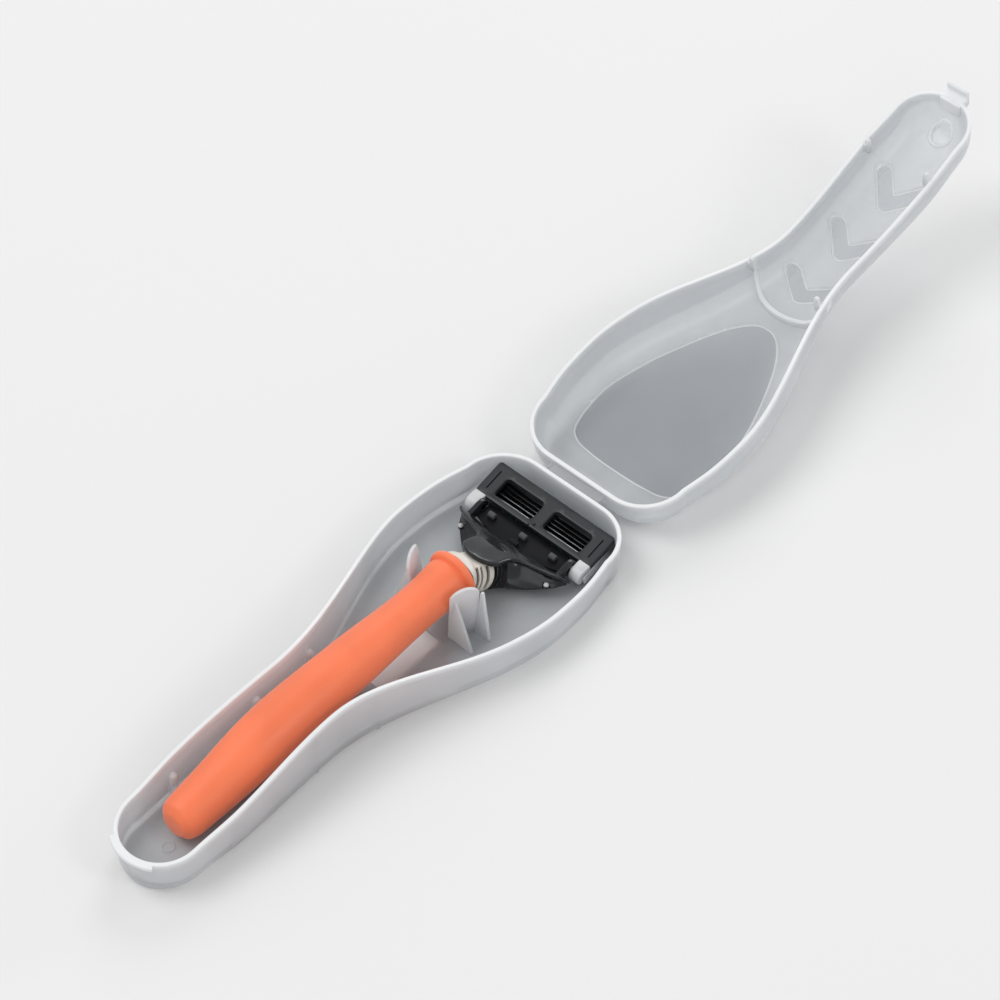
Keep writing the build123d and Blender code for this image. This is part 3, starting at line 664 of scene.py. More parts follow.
def make_tray():
    """Tray with its fittings and the marks of painted highlight for its plastic."""
    tray = united(tray_skin(), tray_fittings(), "tray_shell")
    x, y, z = points_of(tray).T
    # Painted highlight, whitening the rim's crown, the walls, the clip posts and the wall ribs
    edge = rim_highlight(z, mouth(x))
    station, reach = POST_REGION
    posts = (np.abs(y) < 20.0) & (np.abs(x - tray_x(station)) < reach) & (z > FLOOR + 0.3)
    edge = np.maximum(edge, HIGHLIGHT_POSTS * posts)
    edge = np.maximum(edge, HIGHLIGHT_WALLS * (z > FLOOR + 2.0))
    for station, top in RIBS:
        place_y = rib_place(station)
        near = np.hypot(x - tray_x(station), np.abs(y) - place_y) < RIB_RADIUS + 0.05
        near &= (np.abs(y) < place_y + 0.35) & (z > FLOOR + 0.3)
        edge = np.maximum(edge, HIGHLIGHT_RIBS * near)
    mark(tray, "edge", edge)
    return tray


# Reliefs of the lid: the chevrons' stations, the oval's half outline and the depth of both
CHEVRONS = ((96.4, 101.8), (115.6, 123.0), (136.6, 145.0))
CHEVRON_REACH = 7.0
CHEVRON_ARM = 5.9
OVAL_HALF = (
    (13.4, 0.0), (13.7, 9.0), (15.2, 16.5), (20.0, 20.6), (34.0, 22.6),
    (48.0, 20.2), (60.7, 15.9), (72.4, 10.7), (79.6, 5.2), (81.6, 0.0),
)
RELIEF = 0.45
POLISHED_SLOPE = 0.3
LINE_WIDTH = 0.35
LINE_FADE = 0.6

# Round marks of the lid: the boss near the tip with the dimple in it, and the ejector's circle
BOSS = (163.2, 4.0)
EJECTOR = (15.7, -15.0, 2.8)

# Rib across the lid's neck: station, radius, thickness and height, and half of its angle in degrees
NECK_RIB = (85.5, 17.8, 1.5, 2.2)
NECK_RIB_ANGLE = 47.5
TAB_STATIONS = (90.0, 142.5)
LATCH_WIDTH = 7.4


def oval_loop():
    upper = [(tray_x(s), y) for s, y in OVAL_HALF]
    lower = [(x, -y) for x, y in upper[1:-1]][::-1]
    return smooth_curve(upper + lower, 12)


def plan_arc(centre, radius, first, last, count):
    return [centre + radius * np.array([math.cos(a), math.sin(a)]) for a in np.linspace(first, last, count)]


def chevron_loop(vertex, end):
    """Outline of two round-ended arms that meet on the middle line."""
    start = np.array([tray_x(vertex), 0.0])
    finish = np.array([tray_x(end), CHEVRON_REACH])
    along = (finish - start) / np.linalg.norm(finish - start)
    outer = np.array([along[1], -along[0]])
    radius = CHEVRON_ARM / 2
    first = math.atan2(outer[1], outer[0])
    steps = np.linspace(0, 1, 12)
    inner_start = start - outer * radius
    corner = inner_start + along * (-inner_start[1] / along[1])
    back = corner - finish + outer * radius
    points = plan_arc(start, radius, 0, first, 8)
    points += [start + outer * radius + (finish - start) * t for t in steps[1:-1]]
    points += plan_arc(finish, radius, first, first + math.pi, 20)
    points += [finish - outer * radius + back * t for t in steps[1:]]
    upper = np.array(points)
    return np.concatenate([upper, (upper * (1, -1))[1:-1][::-1]])


def polished_loops():
    """Plan loops of the oval and the chevrons."""
    return [oval_loop()] + [chevron_loop(*place) for place in CHEVRONS]


def dome_row(total, radius, rise):
    """Ring of the dome's rounded edge, moved in by a total and up by a rise."""
    base, step = LID_RING
    plan = base + step * total[:, None]
    return at_height(plan, dome(plan[:, 0]) - DOME_RADIUS + radius * rise)


def lid_skin():
    """Wall, rounded rim and dome of the lid."""
    x = LID_RING[0][:, 0]
    spring = dome(x) - DOME_RADIUS
    lean = (spring - RIM_HEAD) * DRAFT
    rows = []
    for a in np.linspace(QUARTER, 0, 12):
        rows.append(dome_row(lean + DOME_RADIUS * (1 - math.cos(a)), DOME_RADIUS, math.sin(a)))
    rows += wall_rows(LID_RING, -1, mouth(x) + PARTING_GAP, spring, spring, 7)
    radius = DOME_RADIUS - WALL
    for a in np.radians((0.0, 6.0, 12.0, 18.0, 25.0)):
        rows.append(dome_row(lean + WALL + radius * (1 - math.cos(a)), radius, math.sin(a)))
    last = rows[-1]
    last[:, 2] = dome_surface(last[:, 0], last[:, 1], WALL)
    b = Build()
    b.rings(rows)
    b.patch(*fill_plan([rows[0]], [], inner_grid(rows[0], 2.0, []), lambda x, y: dome(x)))
    b.patch(*inner_face(last, lean, radius))
    return b.solid("lid_shell_skin", 32.0)


def inner_face(ring, lean, radius):
    """Inside of the dome with its oval, chevrons, tip dimple and ejector mark."""
    polished = polished_loops()
    boss_x, boss_radius = tray_x(BOSS[0]), BOSS[1]
    station, y, size = EJECTOR
    features = [(loop, POLISHED_SLOPE, RELIEF) for loop in polished]
    features.append((circle_loop(boss_x, 0, boss_radius), 0.5, -0.55))
    features.append((circle_loop(boss_x, 0, boss_radius - 1.1), 0.45, 0.9))
    features.append((circle_loop(tray_x(station), y, size, 36), 0.12, 0.12))
    loops, tests = [], []
    for loop, slope, depth in features:
        loops += [loop, offset_loop(loop, -slope)]
        tests.append((offset_loop(loop, -slope / 2), depth))
    for loop in polished:
        loops += [offset_loop(loop, -POLISHED_SLOPE - reach) for reach in (LINE_WIDTH, LINE_FADE)]
    extra = inner_grid(ring, 0.9, loops)
    extra = extra[lid_inset(extra[:, 0], extra[:, 1]) > radius + 2.0]
    base, step = LID_RING
    bands = []
    for a in np.radians((33, 41, 49, 57, 66, 75, 83, 90)):
        total = lean + WALL + radius * (1 - math.cos(a))
        bands.append(base + step * total[:, None])
    bands = away_from(np.concatenate(bands), loops, 0.3)

    def height(x, y):
        z = dome_surface(x, y, WALL)
        for test, depth in tests:
            z = z + depth * within(columns(x, y), test)
        return z

    return fill_plan([ring] + loops, [], np.concatenate([bands, extra]), height)


def neck_rib():
    """Curved rib across the lid's neck, standing on the inner face."""
    station, radius, thick, tall = NECK_RIB
    angles = np.radians(np.linspace(-NECK_RIB_ANGLE, NECK_RIB_ANGLE, 49))
    half = [(0.0, -0.35), (0.0, tall - 0.4), (0.15, tall - 0.1), (0.45, tall)]
    rows = []
    for inset, drop in half + [(thick - inset, drop) for inset, drop in half[::-1]]:
        x = tray_x(station + radius) + (radius - inset) * np.cos(angles)
        y = (radius - inset) * np.sin(angles)
        rows.append(columns(x, y, dome_surface(x, y, WALL) - drop))
    b = Build()
    b.bar(rows)
    return b.solid("neck_rib")


def rim_tab(station, side):
    """Locating tab that stands past the lid's rim."""
    rim = float(mouth(tray_x(station)))
    inner = half_width(station) - WALL - 0.6
    outer = inner + WALL
    profile = [(inner - 1.6, rim - 1.4), (inner - 1.1, rim - 2.0), (inner, rim - 2.0), (inner, rim + 0.6)]
    profile += [(outer, rim + 0.6), (outer, rim + 3.5), (inner - 1.2, rim + 3.9), (inner - 1.8, rim + 3.0)]
    loop = [(tray_x(station) - 0.55, side * y, z) for y, z in profile]
    return prism("tab", loop, (1.1, 0, 0), 0.12)


def latch_parts():
    """Hooked tongue that hangs from the lid's tip, and the pad outside it."""
    inner = TIP_X - 1.3
    top = RIM_TIP + 4.0
    hook = RIM_TIP - 1.7
    bead = inner + 0.2
    outer = inner - 1.0
    tongue = [(TIP_X + 0.6, top), (inner - 0.5, top - 0.35), (outer, top - 1.4), (outer, hook - 0.2)]
    tongue += [(outer + 0.4, hook - 0.5), (inner, hook - 0.5), (bead, hook - 0.2), (bead, hook)]
    tongue += [(inner, hook), (inner, RIM_TIP + PARTING_GAP), (TIP_X + 0.6, RIM_TIP + PARTING_GAP)]
    low, high = RIM_TIP + 0.5, RIM_TIP + 5.6
    pad = [(TIP_X + 0.7, low), (TIP_X + 2.5, low), (TIP_X + 2.6, high - 0.6)]
    pad += [(TIP_X + 2.2, high), (TIP_X + 0.9, high + 0.2)]
    pieces = (("tongue", tongue), ("pad", pad))
    return [extrude(name, profile, -LATCH_WIDTH / 2, LATCH_WIDTH) for name, profile in pieces]


def open_matrix():
    """Moves the lid from its closed pose to the one in which the box lies open."""
    turn = Matrix.Rotation(HALF_OPEN, 4, "Y")
    moves = Matrix.Identity(4)
    for height in (FOLD_MIDDLE + STRAP_LENGTH / 2, FOLD_MIDDLE - STRAP_LENGTH / 2):
        axis = Matrix.Translation(Vector((FOLD_X, 0, height)) * MM)
        moves = axis @ turn @ axis.inverted() @ moves
    return moves


def make_lid():
    """Lid with its fittings, the marks of painted highlight and of polish for its plastic, thrown open."""
    tabs = [rim_tab(station, side) for station in TAB_STATIONS for side in (1, -1)]
    lid = united(lid_skin(), [neck_rib()] + latch_parts() + tabs, "lid_dome", 32.0)
    points = points_of(lid)
    x, y, z = points.T
    # Painted highlight, whitening the rim's crown, the neck rib, the tabs and latch, the boss ring and a thin
    # line round each polished area
    rim = mouth(x) + PARTING_GAP
    station, radius, thick, tall = NECK_RIB
    centre = tray_x(station + radius)
    reach = np.hypot(x - centre, y)
    rib = (reach > radius - thick - 0.1) & (reach < radius + 0.1) & (x > centre + 8.0)
    rib &= z < dome_surface(x, y, WALL) - 0.5
    edge = np.maximum(rim_highlight(z, rim), HIGHLIGHT_NECK_RIB * rib)
    edge = np.maximum(edge, HIGHLIGHT_TABS * (z < rim - 0.1))
    ring = np.hypot(x - tray_x(BOSS[0]), y)
    inner = np.abs(z - dome(x)) > 0.4
    edge = np.maximum(edge, HIGHLIGHT_BOSS * (np.abs(ring - BOSS[1] + 0.5) < 0.1) * inner)
    polish = np.zeros(len(points))
    for loop in polished_loops():
        inside = within(points[:, :2], offset_loop(loop, -0.1)) & inner
        middle = within(points[:, :2], offset_loop(loop, -POLISHED_SLOPE - LINE_WIDTH - 0.1))
        edge = np.maximum(edge, HIGHLIGHT_LINES * (inside & ~middle))
        polish = np.maximum(polish, inside & middle)
    mark(lid, "edge", edge)
    mark(lid, "polish", polish)
    lid.data.transform(open_matrix())
    return lid


# Razor's neck: its axis starts at the collar's face and dips towards the head
COLLAR_FACE = 47.2
NECK_HEIGHT = 13.8
NECK_DIP = math.radians(30.0)
SEAT = 12.2

# Handle: station, height of the axis and radius; the butt counts back from its end
GRIP_PATH = (
    (149.2, 8.2, 6.45), (142.0, 9.1, 6.9), (121.0, 12.4, 8.1),
    (89.0, 14.0, 7.42), (57.0, 14.7, 6.45), (51.4, 15.1, 6.8),
)
BUTT_END = 153.8
BUTT = (
    (0.0, 8.1, 3.3), (0.12, 8.1, 3.75), (0.5, 8.1, 4.25), (1.2, 8.1, 5.15),
    (1.6, 8.1, 5.6), (2.1, 8.1, 5.85), (3.2, 8.15, 6.22),
)
COLLAR_HEIGHT = 15.15
COLLAR = (
    (50.6, 6.72), (50.1, 6.5), (49.75, 6.52), (49.55, 6.9), (49.45, 7.35), (49.1, 7.72),
    (48.6, 7.9), (47.95, 7.88), (47.5, 7.65), (47.26, 7.25), (47.2, 6.7), (47.2, 4.2),
)
GRIP_MOUTH = ((47.2, 15.1, 4.0), (48.6, 15.0, 4.0))
GRIP_SIDES = 96


def make_grip():
    """Soft sleeve with its bevelled butt and the collar ring at its neck."""
    path = np.array(GRIP_PATH)[::-1]
    stations = np.linspace(path[0, 0], path[-1, 0], 130)[::-1]
    heights = through_points(path[:, 0], path[:, 1], stations)
    radii = through_points(path[:, 0], path[:, 2], stations)
    rows = [(BUTT_END - s, z, r) for s, z, r in BUTT]
    rows += list(zip(stations, heights, radii))
    rows += [(s, COLLAR_HEIGHT, r) for s, r in COLLAR]
    rows += list(GRIP_MOUTH)
    angle = full_turn(GRIP_SIDES)
    b = Build()
    b.tube([columns(tray_x(s), r * np.cos(angle), z + r * np.sin(angle)) for s, z, r in rows])
    return b.solid("grip", 50.0)


def neck_frame(along, across, rise):
    """Points given along the neck's axis, across it and above it."""
    x = tray_x(COLLAR_FACE) + along * math.cos(NECK_DIP) + rise * math.sin(NECK_DIP)
    z = NECK_HEIGHT - along * math.sin(NECK_DIP) + rise * math.cos(NECK_DIP)
    return columns(x, across, z)


# Cream sleeve: where it is cut off behind, its reach along the neck, its radii and its slots
SLEEVE_BACK = tray_x(46.9)
SLEEVE_START = -3.6
SLEEVE_END = 10.4
SLEEVE_RADII = (6.2, 5.7)
SLEEVE_BORE = 3.4
SLEEVE_SIDES = 144
SLEEVE_SLOTS = ((1.4, 2.9), (3.8, 4.8), (6.5, 8.1))
SLOT_DEPTH = 1.3
SLOT_LIP = 0.22


def slot_share(along, sine):
    """How much of a slot a place on the sleeve is, from its distance along and its angle's sine."""
    depth = 0.0
    for low, high in SLEEVE_SLOTS:
        gap = np.maximum(np.maximum(low - along, along - high), 0.0)
        lip = 0.09 * np.maximum(0.0, 1 - gap / SLOT_LIP) ** 2
        depth = np.maximum(depth, np.where(gap < 1e-3, 1.0, lip))
    above = np.clip((0.80 - sine) / 0.10, 0.0, 1.0)
    below = np.clip((sine + 0.42) / 0.08, 0.0, 1.0)
    side = np.minimum(above, below)
    return depth * side * side * (3 - 2 * side)


def make_sleeve():
    """Cream sleeve behind the head: plain on top, slotted between its ribs at the sides."""
    cuts = []
    for low, high in SLEEVE_SLOTS:
        for reach in (SLOT_LIP, 0.08, 0.02, 0.0):
            cuts += [low - reach, high + reach]
    ends = [SLEEVE_END - 0.4, SLEEVE_END - 0.15, SLEEVE_END]
    body = np.linspace(SLEEVE_START, SLEEVE_END - 0.6, 36)
    angle = full_turn(SLEEVE_SIDES)
    cos, sine = np.cos(angle), np.sin(angle)
    rows = []
    for d in np.unique(np.concatenate([cuts, ends, body])):
        radius = np.interp(d, (0.0, SLEEVE_END), SLEEVE_RADII)
        radius = radius - 0.3 * max(0.0, 1 - (SLEEVE_END - d) / 0.35) ** 2
        radius = radius + 0.9 * np.clip((2.2 - d) / 2.6, 0, 1) ** 2 * np.clip(0.4 + sine, 0, 1)
        r = radius - SLOT_DEPTH * slot_share(d, sine)
        top = 4.9 if d > 1.6 else 9.0
        rows.append(neck_frame(d, r * cos, np.minimum(r * sine, top)))
    rows += [neck_frame(d, SLEEVE_BORE * cos, SLEEVE_BORE * sine) for d in (SLEEVE_END, SLEEVE_START)]
    for row in rows:
        row[:, 0] = np.maximum(row[:, 0], SLEEVE_BACK)
    b = Build()
    b.rings(rows + rows[:1])
    made = b.solid("sleeve")
    # Painted shade: points deep in the slots are marked to be darkened
    x, y, z = points_of(made).T
    ahead = (x - tray_x(COLLAR_FACE)) * math.cos(NECK_DIP) - (z - NECK_HEIGHT) * math.sin(NECK_DIP)
    rise = (z - NECK_HEIGHT) * math.cos(NECK_DIP) + (x - tray_x(COLLAR_FACE)) * math.sin(NECK_DIP)
    reach = np.hypot(y, rise)
    deep = np.clip((np.interp(ahead, (0.0, SLEEVE_END), SLEEVE_RADII) - 0.25 - reach) / 0.4, 0, 1)
    mark(made, "slot", deep * (slot_share(ahead, rise / np.maximum(reach, 0.1)) > 0.02))
    return made


# Head: the top's stations and heights, its hollow front edge and its half outline
HEAD_LINE = ((22.5, 7.9), (25.5, 9.7), (29.0, 12.0), (33.5, 14.5), (38.0, 16.45), (40.7, 17.5))
FRONT_TIP = 22.9
FRONT_MIDDLE = 24.6
FRONT_REACH = 20.0
FRONT_BEVEL = 1.9
FRONT_DROP = 0.75
FRONT_HALF = 19.4
HEAD_SIDE = (
    (40.7, 0.0), (40.4, 2.2), (39.5, 4.2), (38.2, 5.7), (36.6, 6.3), (33.8, 6.4), (31.6, 6.8),
    (30.0, 8.3), (28.5, 11.6), (26.8, 15.6), (25.4, 18.3), (24.2, 19.9), (23.2, 20.2), (22.7, 19.7),
)

# Section of the top plate's edge, as inset and drop
PLATE_EDGE = (
    (0.75, 0.0), (0.42, 0.06), (0.2, 0.2), (0.06, 0.45), (0.0, 0.8), (0.0, 1.2), (0.15, 1.6), (0.5, 1.85),
)

# Under part: the lip at its seat, and the station, upper and lower half width of its rings
SEAT_LIP = ((0.0, 5.2), (0.12, 5.35), (1.2, 5.35), (1.25, 5.75), (1.35, 5.85), (1.6, 5.9), (2.1, 5.9))
BODY_RINGS = (
    (34.6, 5.9, 7.6), (33.4, 5.95, 9.9), (32.0, 6.2, 11.9), (30.6, 7.2, 13.6),
    (29.3, 9.4, 15.0), (28.2, 12.0, 16.2), (27.1, 14.6, 17.4), (26.1, 16.8, 18.4),
    (25.3, 18.4, 19.2), (24.9, 19.2, 19.5), (24.6, 19.3, 19.4),
)
BODY_SIDES = 120
FLANGE_TOP = 6.2

# Pale nibs on the wings: station, reach and radius
NIB = (28.0, 15.9, 0.8)


def front_station(y):
    """Station of the head's hollow front edge."""
    share = np.clip(np.abs(np.asarray(y, float)) / FRONT_REACH, 0, 1)
    return FRONT_MIDDLE - (FRONT_MIDDLE - FRONT_TIP) * share ** 2


def head_top(x, y):
    """Top face of the head: sloped along it, crowned across it and bevelled along its front."""
    station = HEAD_STATION - np.asarray(x, float)
    line = np.array(HEAD_LINE)
    height = through_points(line[:, 0], line[:, 1], np.clip(station, line[0, 0], line[-1, 0]))
    crown = 0.65 * np.sin(math.pi * np.clip(np.abs(y) / 23.0, 0, 1))
    bevel = np.clip(1 - (station - front_station(y)) / FRONT_BEVEL, 0, 1.2)
    return height - crown - FRONT_DROP * bevel


def head_outline():
    """Plan loop of the head's top plate."""
    side = np.array(HEAD_SIDE)
    back = smooth_curve(np.concatenate([side[::-1] * (1, -1), side[1:]]), 8, closed=False)
    across = np.linspace(FRONT_HALF, -FRONT_HALF, 70)
    loop = np.concatenate([back, columns(front_station(across), across)])
    loop[:, 0] = tray_x(loop[:, 0])
    return loop


def make_plate():
    """Top plate of the head, from the roof over the sleeve to the wing tips."""
    loop = head_outline()
    rows = []
    for inset, drop in PLATE_EDGE:
        ring = offset_loop(loop, -inset)
        rows.append(at_height(ring, head_top(ring[:, 0], ring[:, 1]) - drop))
    b = Build()
    b.rings(rows)
    across = np.linspace(-18.0, 18.0, 91)
    ridge = columns(tray_x(front_station(across) + FRONT_BEVEL), across)
    ridge = ridge[within(ridge, offset_loop(rows[0][:, :2], -0.3))]
    extra = np.concatenate([ridge, away_from(inner_grid(rows[0], 0.8, []), [ridge], 0.35)])
    for ring, drop in ((rows[0], 0.0), (rows[-1], PLATE_EDGE[-1][1])):
        b.patch(*fill_plan([ring], [], extra, lambda x, y, below=drop: head_top(x, y) - below))
    return b.solid("plate", 24.0)


def make_body():
    """Under part of the head: round at the neck, with flanks that spread to a low flange."""
    angle = full_turn(BODY_SIDES)
    cos, sin = np.cos(angle), np.sin(angle)
    rows = [neck_frame(SEAT + d, r * cos, r * sin) for d, r in SEAT_LIP]
    for station, upper, lower in BODY_RINGS:
        round_share = float(np.clip((station - 33.0) / 3.0, 0, 1))
        power = 3.6 - 1.4 * round_share
        across = np.sign(cos) * np.abs(cos) ** (2 / power)
        up = np.sign(sin) * np.abs(sin) ** (2 / power)
        flank = np.clip(up, 0, 1) ** 0.62
        half = np.where(up > 0, lower + (upper - 0.25 - lower) * flank, lower)
        y = half * across
        lean = np.clip((station - 27.0) / 9.0, 0, 1) * math.tan(NECK_DIP)
        far = np.clip((26.6 - station) / 2.0, 0, 1)
        x0 = tray_x(station)
        x = x0 + far * (tray_x(front_station(y)) - 0.5 - x0)
        middle = FLANGE_TOP - 1.0 + 2.0 * round_share
        top = head_top(x, y) - 1.1
        low = np.interp(station, (24.0, 30.0, 35.2), (4.3, 3.5, 3.0)) + 0.8 * (np.abs(y) / 20.0) ** 2
        z = np.where(up > 0, middle + (top - middle) * up, middle + (middle - low) * up)
        rows.append(columns(x + lean * (z - middle), y, z))
    b = Build()
    b.tube(rows)
    return b.solid("body", 40.0)


def make_ears():
    """Pivot plates at the wings, round at their ends."""
    loop = [(25.5, 5.2), (19.0, 4.5)]
    for a in np.linspace(0.2, math.pi - 0.1, 14):
        loop.append((18.9 - 2.1 * math.sin(a), 6.6 - 2.1 * math.cos(a)))
    loop += [(20.5, 8.6), (23.0, 7.9), (25.5, 7.6)]
    profile = [(tray_x(s), z) for s, z in loop]
    return [extrude("ear", profile, side * 15.7, side * 1.5, 0.2) for side in (1, -1)]


def make_head():
    """Fan-shaped head with its roof, wings and ears, hollowed for the sleeve."""
    station, reach, radius = NIB
    nibs = [round_post("nib", tray_x(station), side * reach, radius, 5.4, 6.1) for side in (1, -1)]
    head = united(make_plate(), [make_body()] + make_ears() + nibs, "head_fan", 26.0)
    angle = full_turn(64)
    across, rise = 6.35 * np.cos(angle), np.minimum(6.35 * np.sin(angle), 5.2)
    space = Build()
    space.tube([neck_frame(d, across, rise) for d in (1.0, SEAT - 0.02)])
    head = combined("DIFFERENCE", head, space.solid("space"), 26.0)
    x, y, z = points_of(head).T
    near = np.hypot(x - tray_x(station), np.abs(y) - reach) < radius + 0.05
    mark(head, "light", near & (z > 6.25) & (z < 7.2))
    return head


# Cartridge: station and height of its corner and its pitch, then its flat frame
CARTRIDGE = (16.4, 7.6, math.radians(15.4))
FRAME_DEPTH = 11.4
FRAME_HALF = 21.4
FRAME_THICK = 4.8
FRAME_TOP = 1.5
FRAME_TAPER = 1.6
FRAME_EDGE = (
    (0.55, 0.0), (0.25, -0.06), (0.08, -0.22), (0.0, -0.45),
    (0.0, -1.5), (0.0, -3.2), (0.0, -4.5), (0.25, -4.8),
)

# Windows, from and to along and across; a groove's and the hollow's size, corner radius and middle
WINDOWS = (1.9, 8.3, 2.0, 15.9)
GROOVE = (6.6, 0.5, 0.24, 5.6, 18.9)
HOLLOW = (7.2, 35.2, 0.4, (4.9, 0.0))

# Row of blades
BLADE_COUNT = 5
BLADE_FIRST = 2.3
BLADE_PITCH = 1.3
BLADE_LENGTH = 35.0
BLADE_TILT = math.radians(24.0)
BLADE_MIDDLE = -3.15
BLADE_SECTION = (
    (-0.10, 0.95), (0.10, 0.95), (0.10, 0.6), (0.10, -0.80), (0.0, -0.95), (-0.10, -0.80), (-0.10, 0.6),
)


def seat_on_cartridge(obj):
    """Moves a piece from the flat cartridge to its rest angle."""
    station, height, pitch = CARTRIDGE
    x, y, z = points_of(obj).T
    ahead = tray_x(station) + x * math.cos(pitch) - z * math.sin(pitch)
    points = columns(ahead, y, height + x * math.sin(pitch) + z * math.cos(pitch)) * MM
    obj.data.vertices.foreach_set("co", points.ravel())
    obj.data.update()
    return obj


def make_frame():
    """Cartridge body: a flat rimmed face with two deep windows and two grooves, hollow beneath, with a small
    stud and pin.
    """
    low, high, inner, outer = WINDOWS
    groove_long, groove_wide, groove_round, groove_x, groove_y = GROOVE
    holes = []
    grooves = []
    for side in (1, -1):
        centre = ((low + high) / 2, side * (inner + outer) / 2)
        holes.append(rounded_loop(high - low, outer - inner, 1.3, centre, 6))
        grooves.append(rounded_loop(groove_long, groove_wide, groove_round, (groove_x, side * groove_y), 3))
    rim = rounded_loop(FRAME_DEPTH, 2 * FRAME_HALF, 1.1, (FRAME_DEPTH / 2, 0.0), 6)
    rows = []
    for inset, z in FRAME_EDGE:
        ring = offset_loop(rim, -inset)
        limit = np.interp(-z, (FRAME_TOP, FRAME_THICK), (FRAME_DEPTH, FRAME_DEPTH - FRAME_TAPER))
        ring[:, 0] = np.minimum(ring[:, 0], limit)
        rows.append(at_height(ring, z))
    b = Build()
    b.rings(rows)
    eased = [offset_loop(hole, 0.3) for hole in holes]
    extra = inner_grid(rows[0], 1.2, eased + grooves)
    points, faces = fill_plan([rows[0]] + grooves, eased, extra, level(0.0))
    b.patch(points, outside(points, faces, grooves))
    for groove in grooves:
        starts = b.rings([at_height(groove, z) for z in (0.0, -0.5)])
        b.cap(starts[-1], len(groove))
    for hole, wide in zip(holes, eased):
        levels = [(wide, 0.0), (offset_loop(hole, 0.08), -0.1), (hole, -0.3), (hole, -FRAME_TOP)]
        b.rings([at_height(loop, z) for loop, z in levels])
    cavity = rounded_loop(*HOLLOW, 3)
    b.patch(*fill_plan([cavity], holes, [], level(-FRAME_TOP)))
    b.rings([at_height(cavity, z) for z in (-FRAME_TOP, -FRAME_THICK)])
    b.patch(*fill_plan([rows[-1]], [cavity], [], level(-FRAME_THICK)))
    frame_body = b.solid("cartridge_body", 30.0)
    stud = round_post("stud", 1.35, 0.2, 0.42, -0.2, 0.12, 16)
    pin = round_post("pin", 0.5, 1.6, 0.28, -0.2, 0.08, 16)
    return seat_on_cartridge(united(frame_body, [stud, pin], "cartridge_body", 30.0))


def row_nodes():
    """Geometry nodes that set out a row of equal pieces at a pitch."""
    tree = bpy.data.node_groups.new("piece_row", "GeometryNodeTree")
    for name, kind in (("Piece", "Geometry"), ("Count", "Int"), ("Pitch", "Float"), ("Finish", "Material")):
        tree.interface.new_socket(name, in_out="INPUT", socket_type="NodeSocket" + kind)
    tree.interface.new_socket("Row", in_out="OUTPUT", socket_type="NodeSocketGeometry")
    given = tree.nodes.new("NodeGroupInput")
    offset = tree.nodes.new("ShaderNodeCombineXYZ")
    line = tree.nodes.new("GeometryNodeMeshLine")
    placed = tree.nodes.new("GeometryNodeInstanceOnPoints")
    solid = tree.nodes.new("GeometryNodeRealizeInstances")
    finished = tree.nodes.new("GeometryNodeSetMaterial")
    result = tree.nodes.new("NodeGroupOutput")
    for source, output, target, socket in (
        (given, "Pitch", offset, "X"),
        (given, "Count", line, "Count"),
        (offset, "Vector", line, "Offset"),
        (line, "Mesh", placed, "Points"),
        (given, "Piece", placed, "Instance"),
        (placed, "Instances", solid, "Geometry"),
        (solid, "Geometry", finished, "Geometry"),
        (given, "Finish", finished, "Material"),
        (finished, "Geometry", result, "Row"),
    ):
        tree.links.new(source.outputs[output], target.inputs[socket])
    return tree


def set_input(change, name, value):
    """Set one input of a geometry modifier by its socket's identifier."""
    for item in change.node_group.interface.items_tree:
        if item.item_type == "SOCKET" and item.in_out == "INPUT" and item.name == name:
            change[item.identifier] = value
            return
    raise RuntimeError("no input called " + name)


def make_blades(finish):
    """Row of thin blades, each tilted back and ground along its edge."""
    sin, cos = math.sin(BLADE_TILT), math.cos(BLADE_TILT)
    profile = [(BLADE_FIRST + x * cos + z * sin, BLADE_MIDDLE - x * sin + z * cos) for x, z in BLADE_SECTION]
    blades = extrude("blade_strips", profile, -BLADE_LENGTH / 2, BLADE_LENGTH, 0.03, 1)
    change = make_modifier(blades, "NODES", node_group=row_nodes())
    set_input(change, "Count", BLADE_COUNT)
    set_input(change, "Pitch", BLADE_PITCH * MM)
    set_input(change, "Finish", finish)
    bake(blades)
    x, y, z = points_of(blades).T
    index = np.round((x - BLADE_FIRST) / BLADE_PITCH)
    along = (x - BLADE_FIRST - index * BLADE_PITCH) * sin + (z - BLADE_MIDDLE) * cos
    # Painted shade: each blade is darkened below its top edge, and the top edges of the later blades in the row
    # step by step
    mark(blades, "shade", np.where(along < 0.7, 1.0, 0.25 * np.maximum(index - 1, 0)))
    return seat_on_cartridge(blades)


# Bar behind the cartridge: half width, underside and thickness, and its three lugs
DOCK_HALF = 15.4
DOCK_LOW = 5.1
DOCK_THICK = 0.9
LUGS = (11.6, 0.0, -11.0)
LUG_SECTION = ((20.7, 5.7), (20.7, 7.3), (20.3, 7.8), (19.4, 7.9), (19.0, 7.5), (19.0, 5.7))
LUG_WIDTH = 2.2


def make_dock():
    """Bar behind the cartridge with three small lugs and the tab for the plunger."""
    half = DOCK_HALF
    rear, side = tray_x(24.5), tray_x(21.9)
    front = tray_x(CARTRIDGE[0]) + 0.2
    loop = [(front, -half), (front, half), (side, half)]
    loop += [(rear + (side - rear) * (y / half) ** 2, y) for y in np.linspace(half, -half, 41)[1:-1]]
    loop.append((side, -half))
    plate = prism("dock_bar", [(x, y, DOCK_LOW) for x, y in loop], (0, 0, DOCK_THICK), 0.2)
    tab = ((-1.5, 5.2), (1.5, 5.2), (1.5, 8.3), (-1.5, 8.3))
    parts = [prism("tab", [(rear, y, z) for y, z in tab], (1.4, 0, 0), 0.2)]
    profile = [(tray_x(s), z) for s, z in LUG_SECTION]
    parts += [extrude("lug", profile, y - LUG_WIDTH / 2, LUG_WIDTH) for y in LUGS]
    made = united(plate, parts, "dock_bar", 30.0)
    x, y, z = points_of(made).T
    # Painted highlight on the lugs' upper parts
    mark(made, "light", ((z > 6.6) & (x > tray_x(21.0))) * 0.14)
    return made


